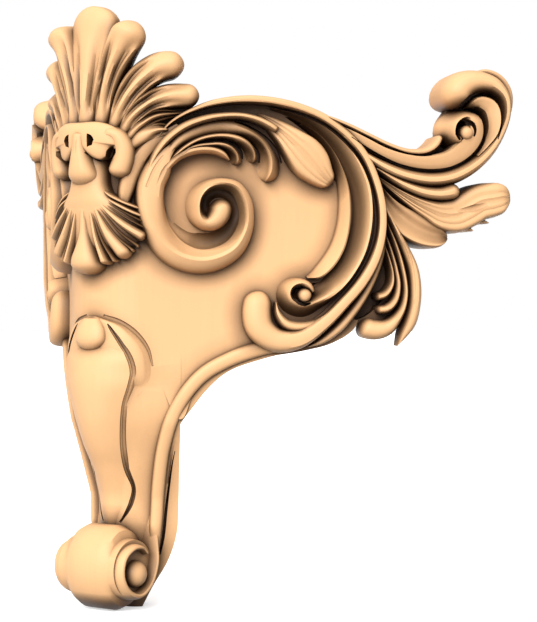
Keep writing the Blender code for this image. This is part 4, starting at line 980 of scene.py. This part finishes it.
sides = [*volute, *c_scroll, *end_scroll, *leaves, *palmette, *cartouche, *fan, *foot_volute, *arch_bead]
hollows = [*scroll_hollows, *leaf_hollows]
grooves = [*volute_grooves, *scroll_grooves, *end_grooves, *leaf_grooves, *cartouche_grooves, *knee_grooves,
           *heel_grooves]
middle = [centre_lobe, *cartouche_middle, fan_middle, *knee_front, foot()]
carved_leg = leg()
carved_leg.name = "carved_leg"
scene.collection.objects.link(carved_leg)
cut_and_join(carved_leg, (
    ("UNION", [carcass_corner(), *ground, *(mirrored(item) for item in ground)]),
    ("DIFFERENCE", [*hollows, *(mirrored(item) for item in hollows)]),
    ("UNION", [*sides, *(mirrored(item) for item in sides), *middle]),
    ("DIFFERENCE", [*trimming_blocks(), *grooves, *(mirrored(item) for item in grooves)]),
))
shape = bmesh.new()
shape.from_mesh(carved_leg.data)
keep_largest_part(shape)
shape.to_mesh(carved_leg.data)
shape.free()
carved_leg.data.shade_smooth()
carved_leg.data.set_sharp_from_angle(angle=SHARP_ANGLE)


def light_wood():
    """Fine-grained light wood under a satin finish, with painted shade darkening the recesses of the carving.
    """
    material = bpy.data.materials.new("light_wood")
    material.use_nodes = True
    tree = material.node_tree
    shader = tree.nodes["Principled BSDF"]
    place = shader_node(tree, "ShaderNodeTexCoord", "Object")
    fibres_place = shader_node(tree, "ShaderNodeMapping", "Vector", Vector=place, Scale=FIBRES_PER_METRE)
    fibres = shader_node(tree, "ShaderNodeTexNoise", "Fac", Vector=fibres_place, Scale=1.0, Detail=3.0)
    cloud = shader_node(tree, "ShaderNodeTexNoise", "Fac", Vector=place, Scale=14.0, Detail=2.0)
    # Painted shade: ambient occlusion over a short reach mixes dark brown into the grain where the carving
    # closes in.
    open_sky_for_painted_shade = shader_node(tree, "ShaderNodeAmbientOcclusion", "AO", {"samples": 8}, Distance=PAINTED_SHADE_REACH)
    grain = fibres * 0.5 + cloud * 0.5
    lighter = shader_node(tree, "ShaderNodeMix", "Result", {"data_type": "RGBA"},
                          Factor=grain, A=PALE_GRAIN, B=WARM_GRAIN)
    grain_with_painted_shade = shader_node(tree, "ShaderNodeMix", "Result", {"data_type": "RGBA"},
                        Factor=open_sky_for_painted_shade ** PAINTED_SHADE_POWER, A=PAINTED_SHADE_TONE, B=lighter)
    bump = shader_node(tree, "ShaderNodeBump", "Normal", Height=fibres, Strength=0.08, Distance=0.0002)
    tree.links.new(grain_with_painted_shade.socket, shader.inputs["Base Color"])
    tree.links.new((ROUGHNESS + fibres * ROUGHER_FIBRES).socket, shader.inputs["Roughness"])
    tree.links.new(bump.socket, shader.inputs["Normal"])
    shader.inputs["Specular IOR Level"].default_value = 0.2
    return material


# The wood takes the place of the rods' own material, on every face.
carved_leg.data.materials.clear()
carved_leg.data.materials.append(light_wood())
carved_leg.data.polygons.foreach_set("material_index", [0] * len(carved_leg.data.polygons))
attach(carved_leg, "root")
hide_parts("carved_bracket_leg")
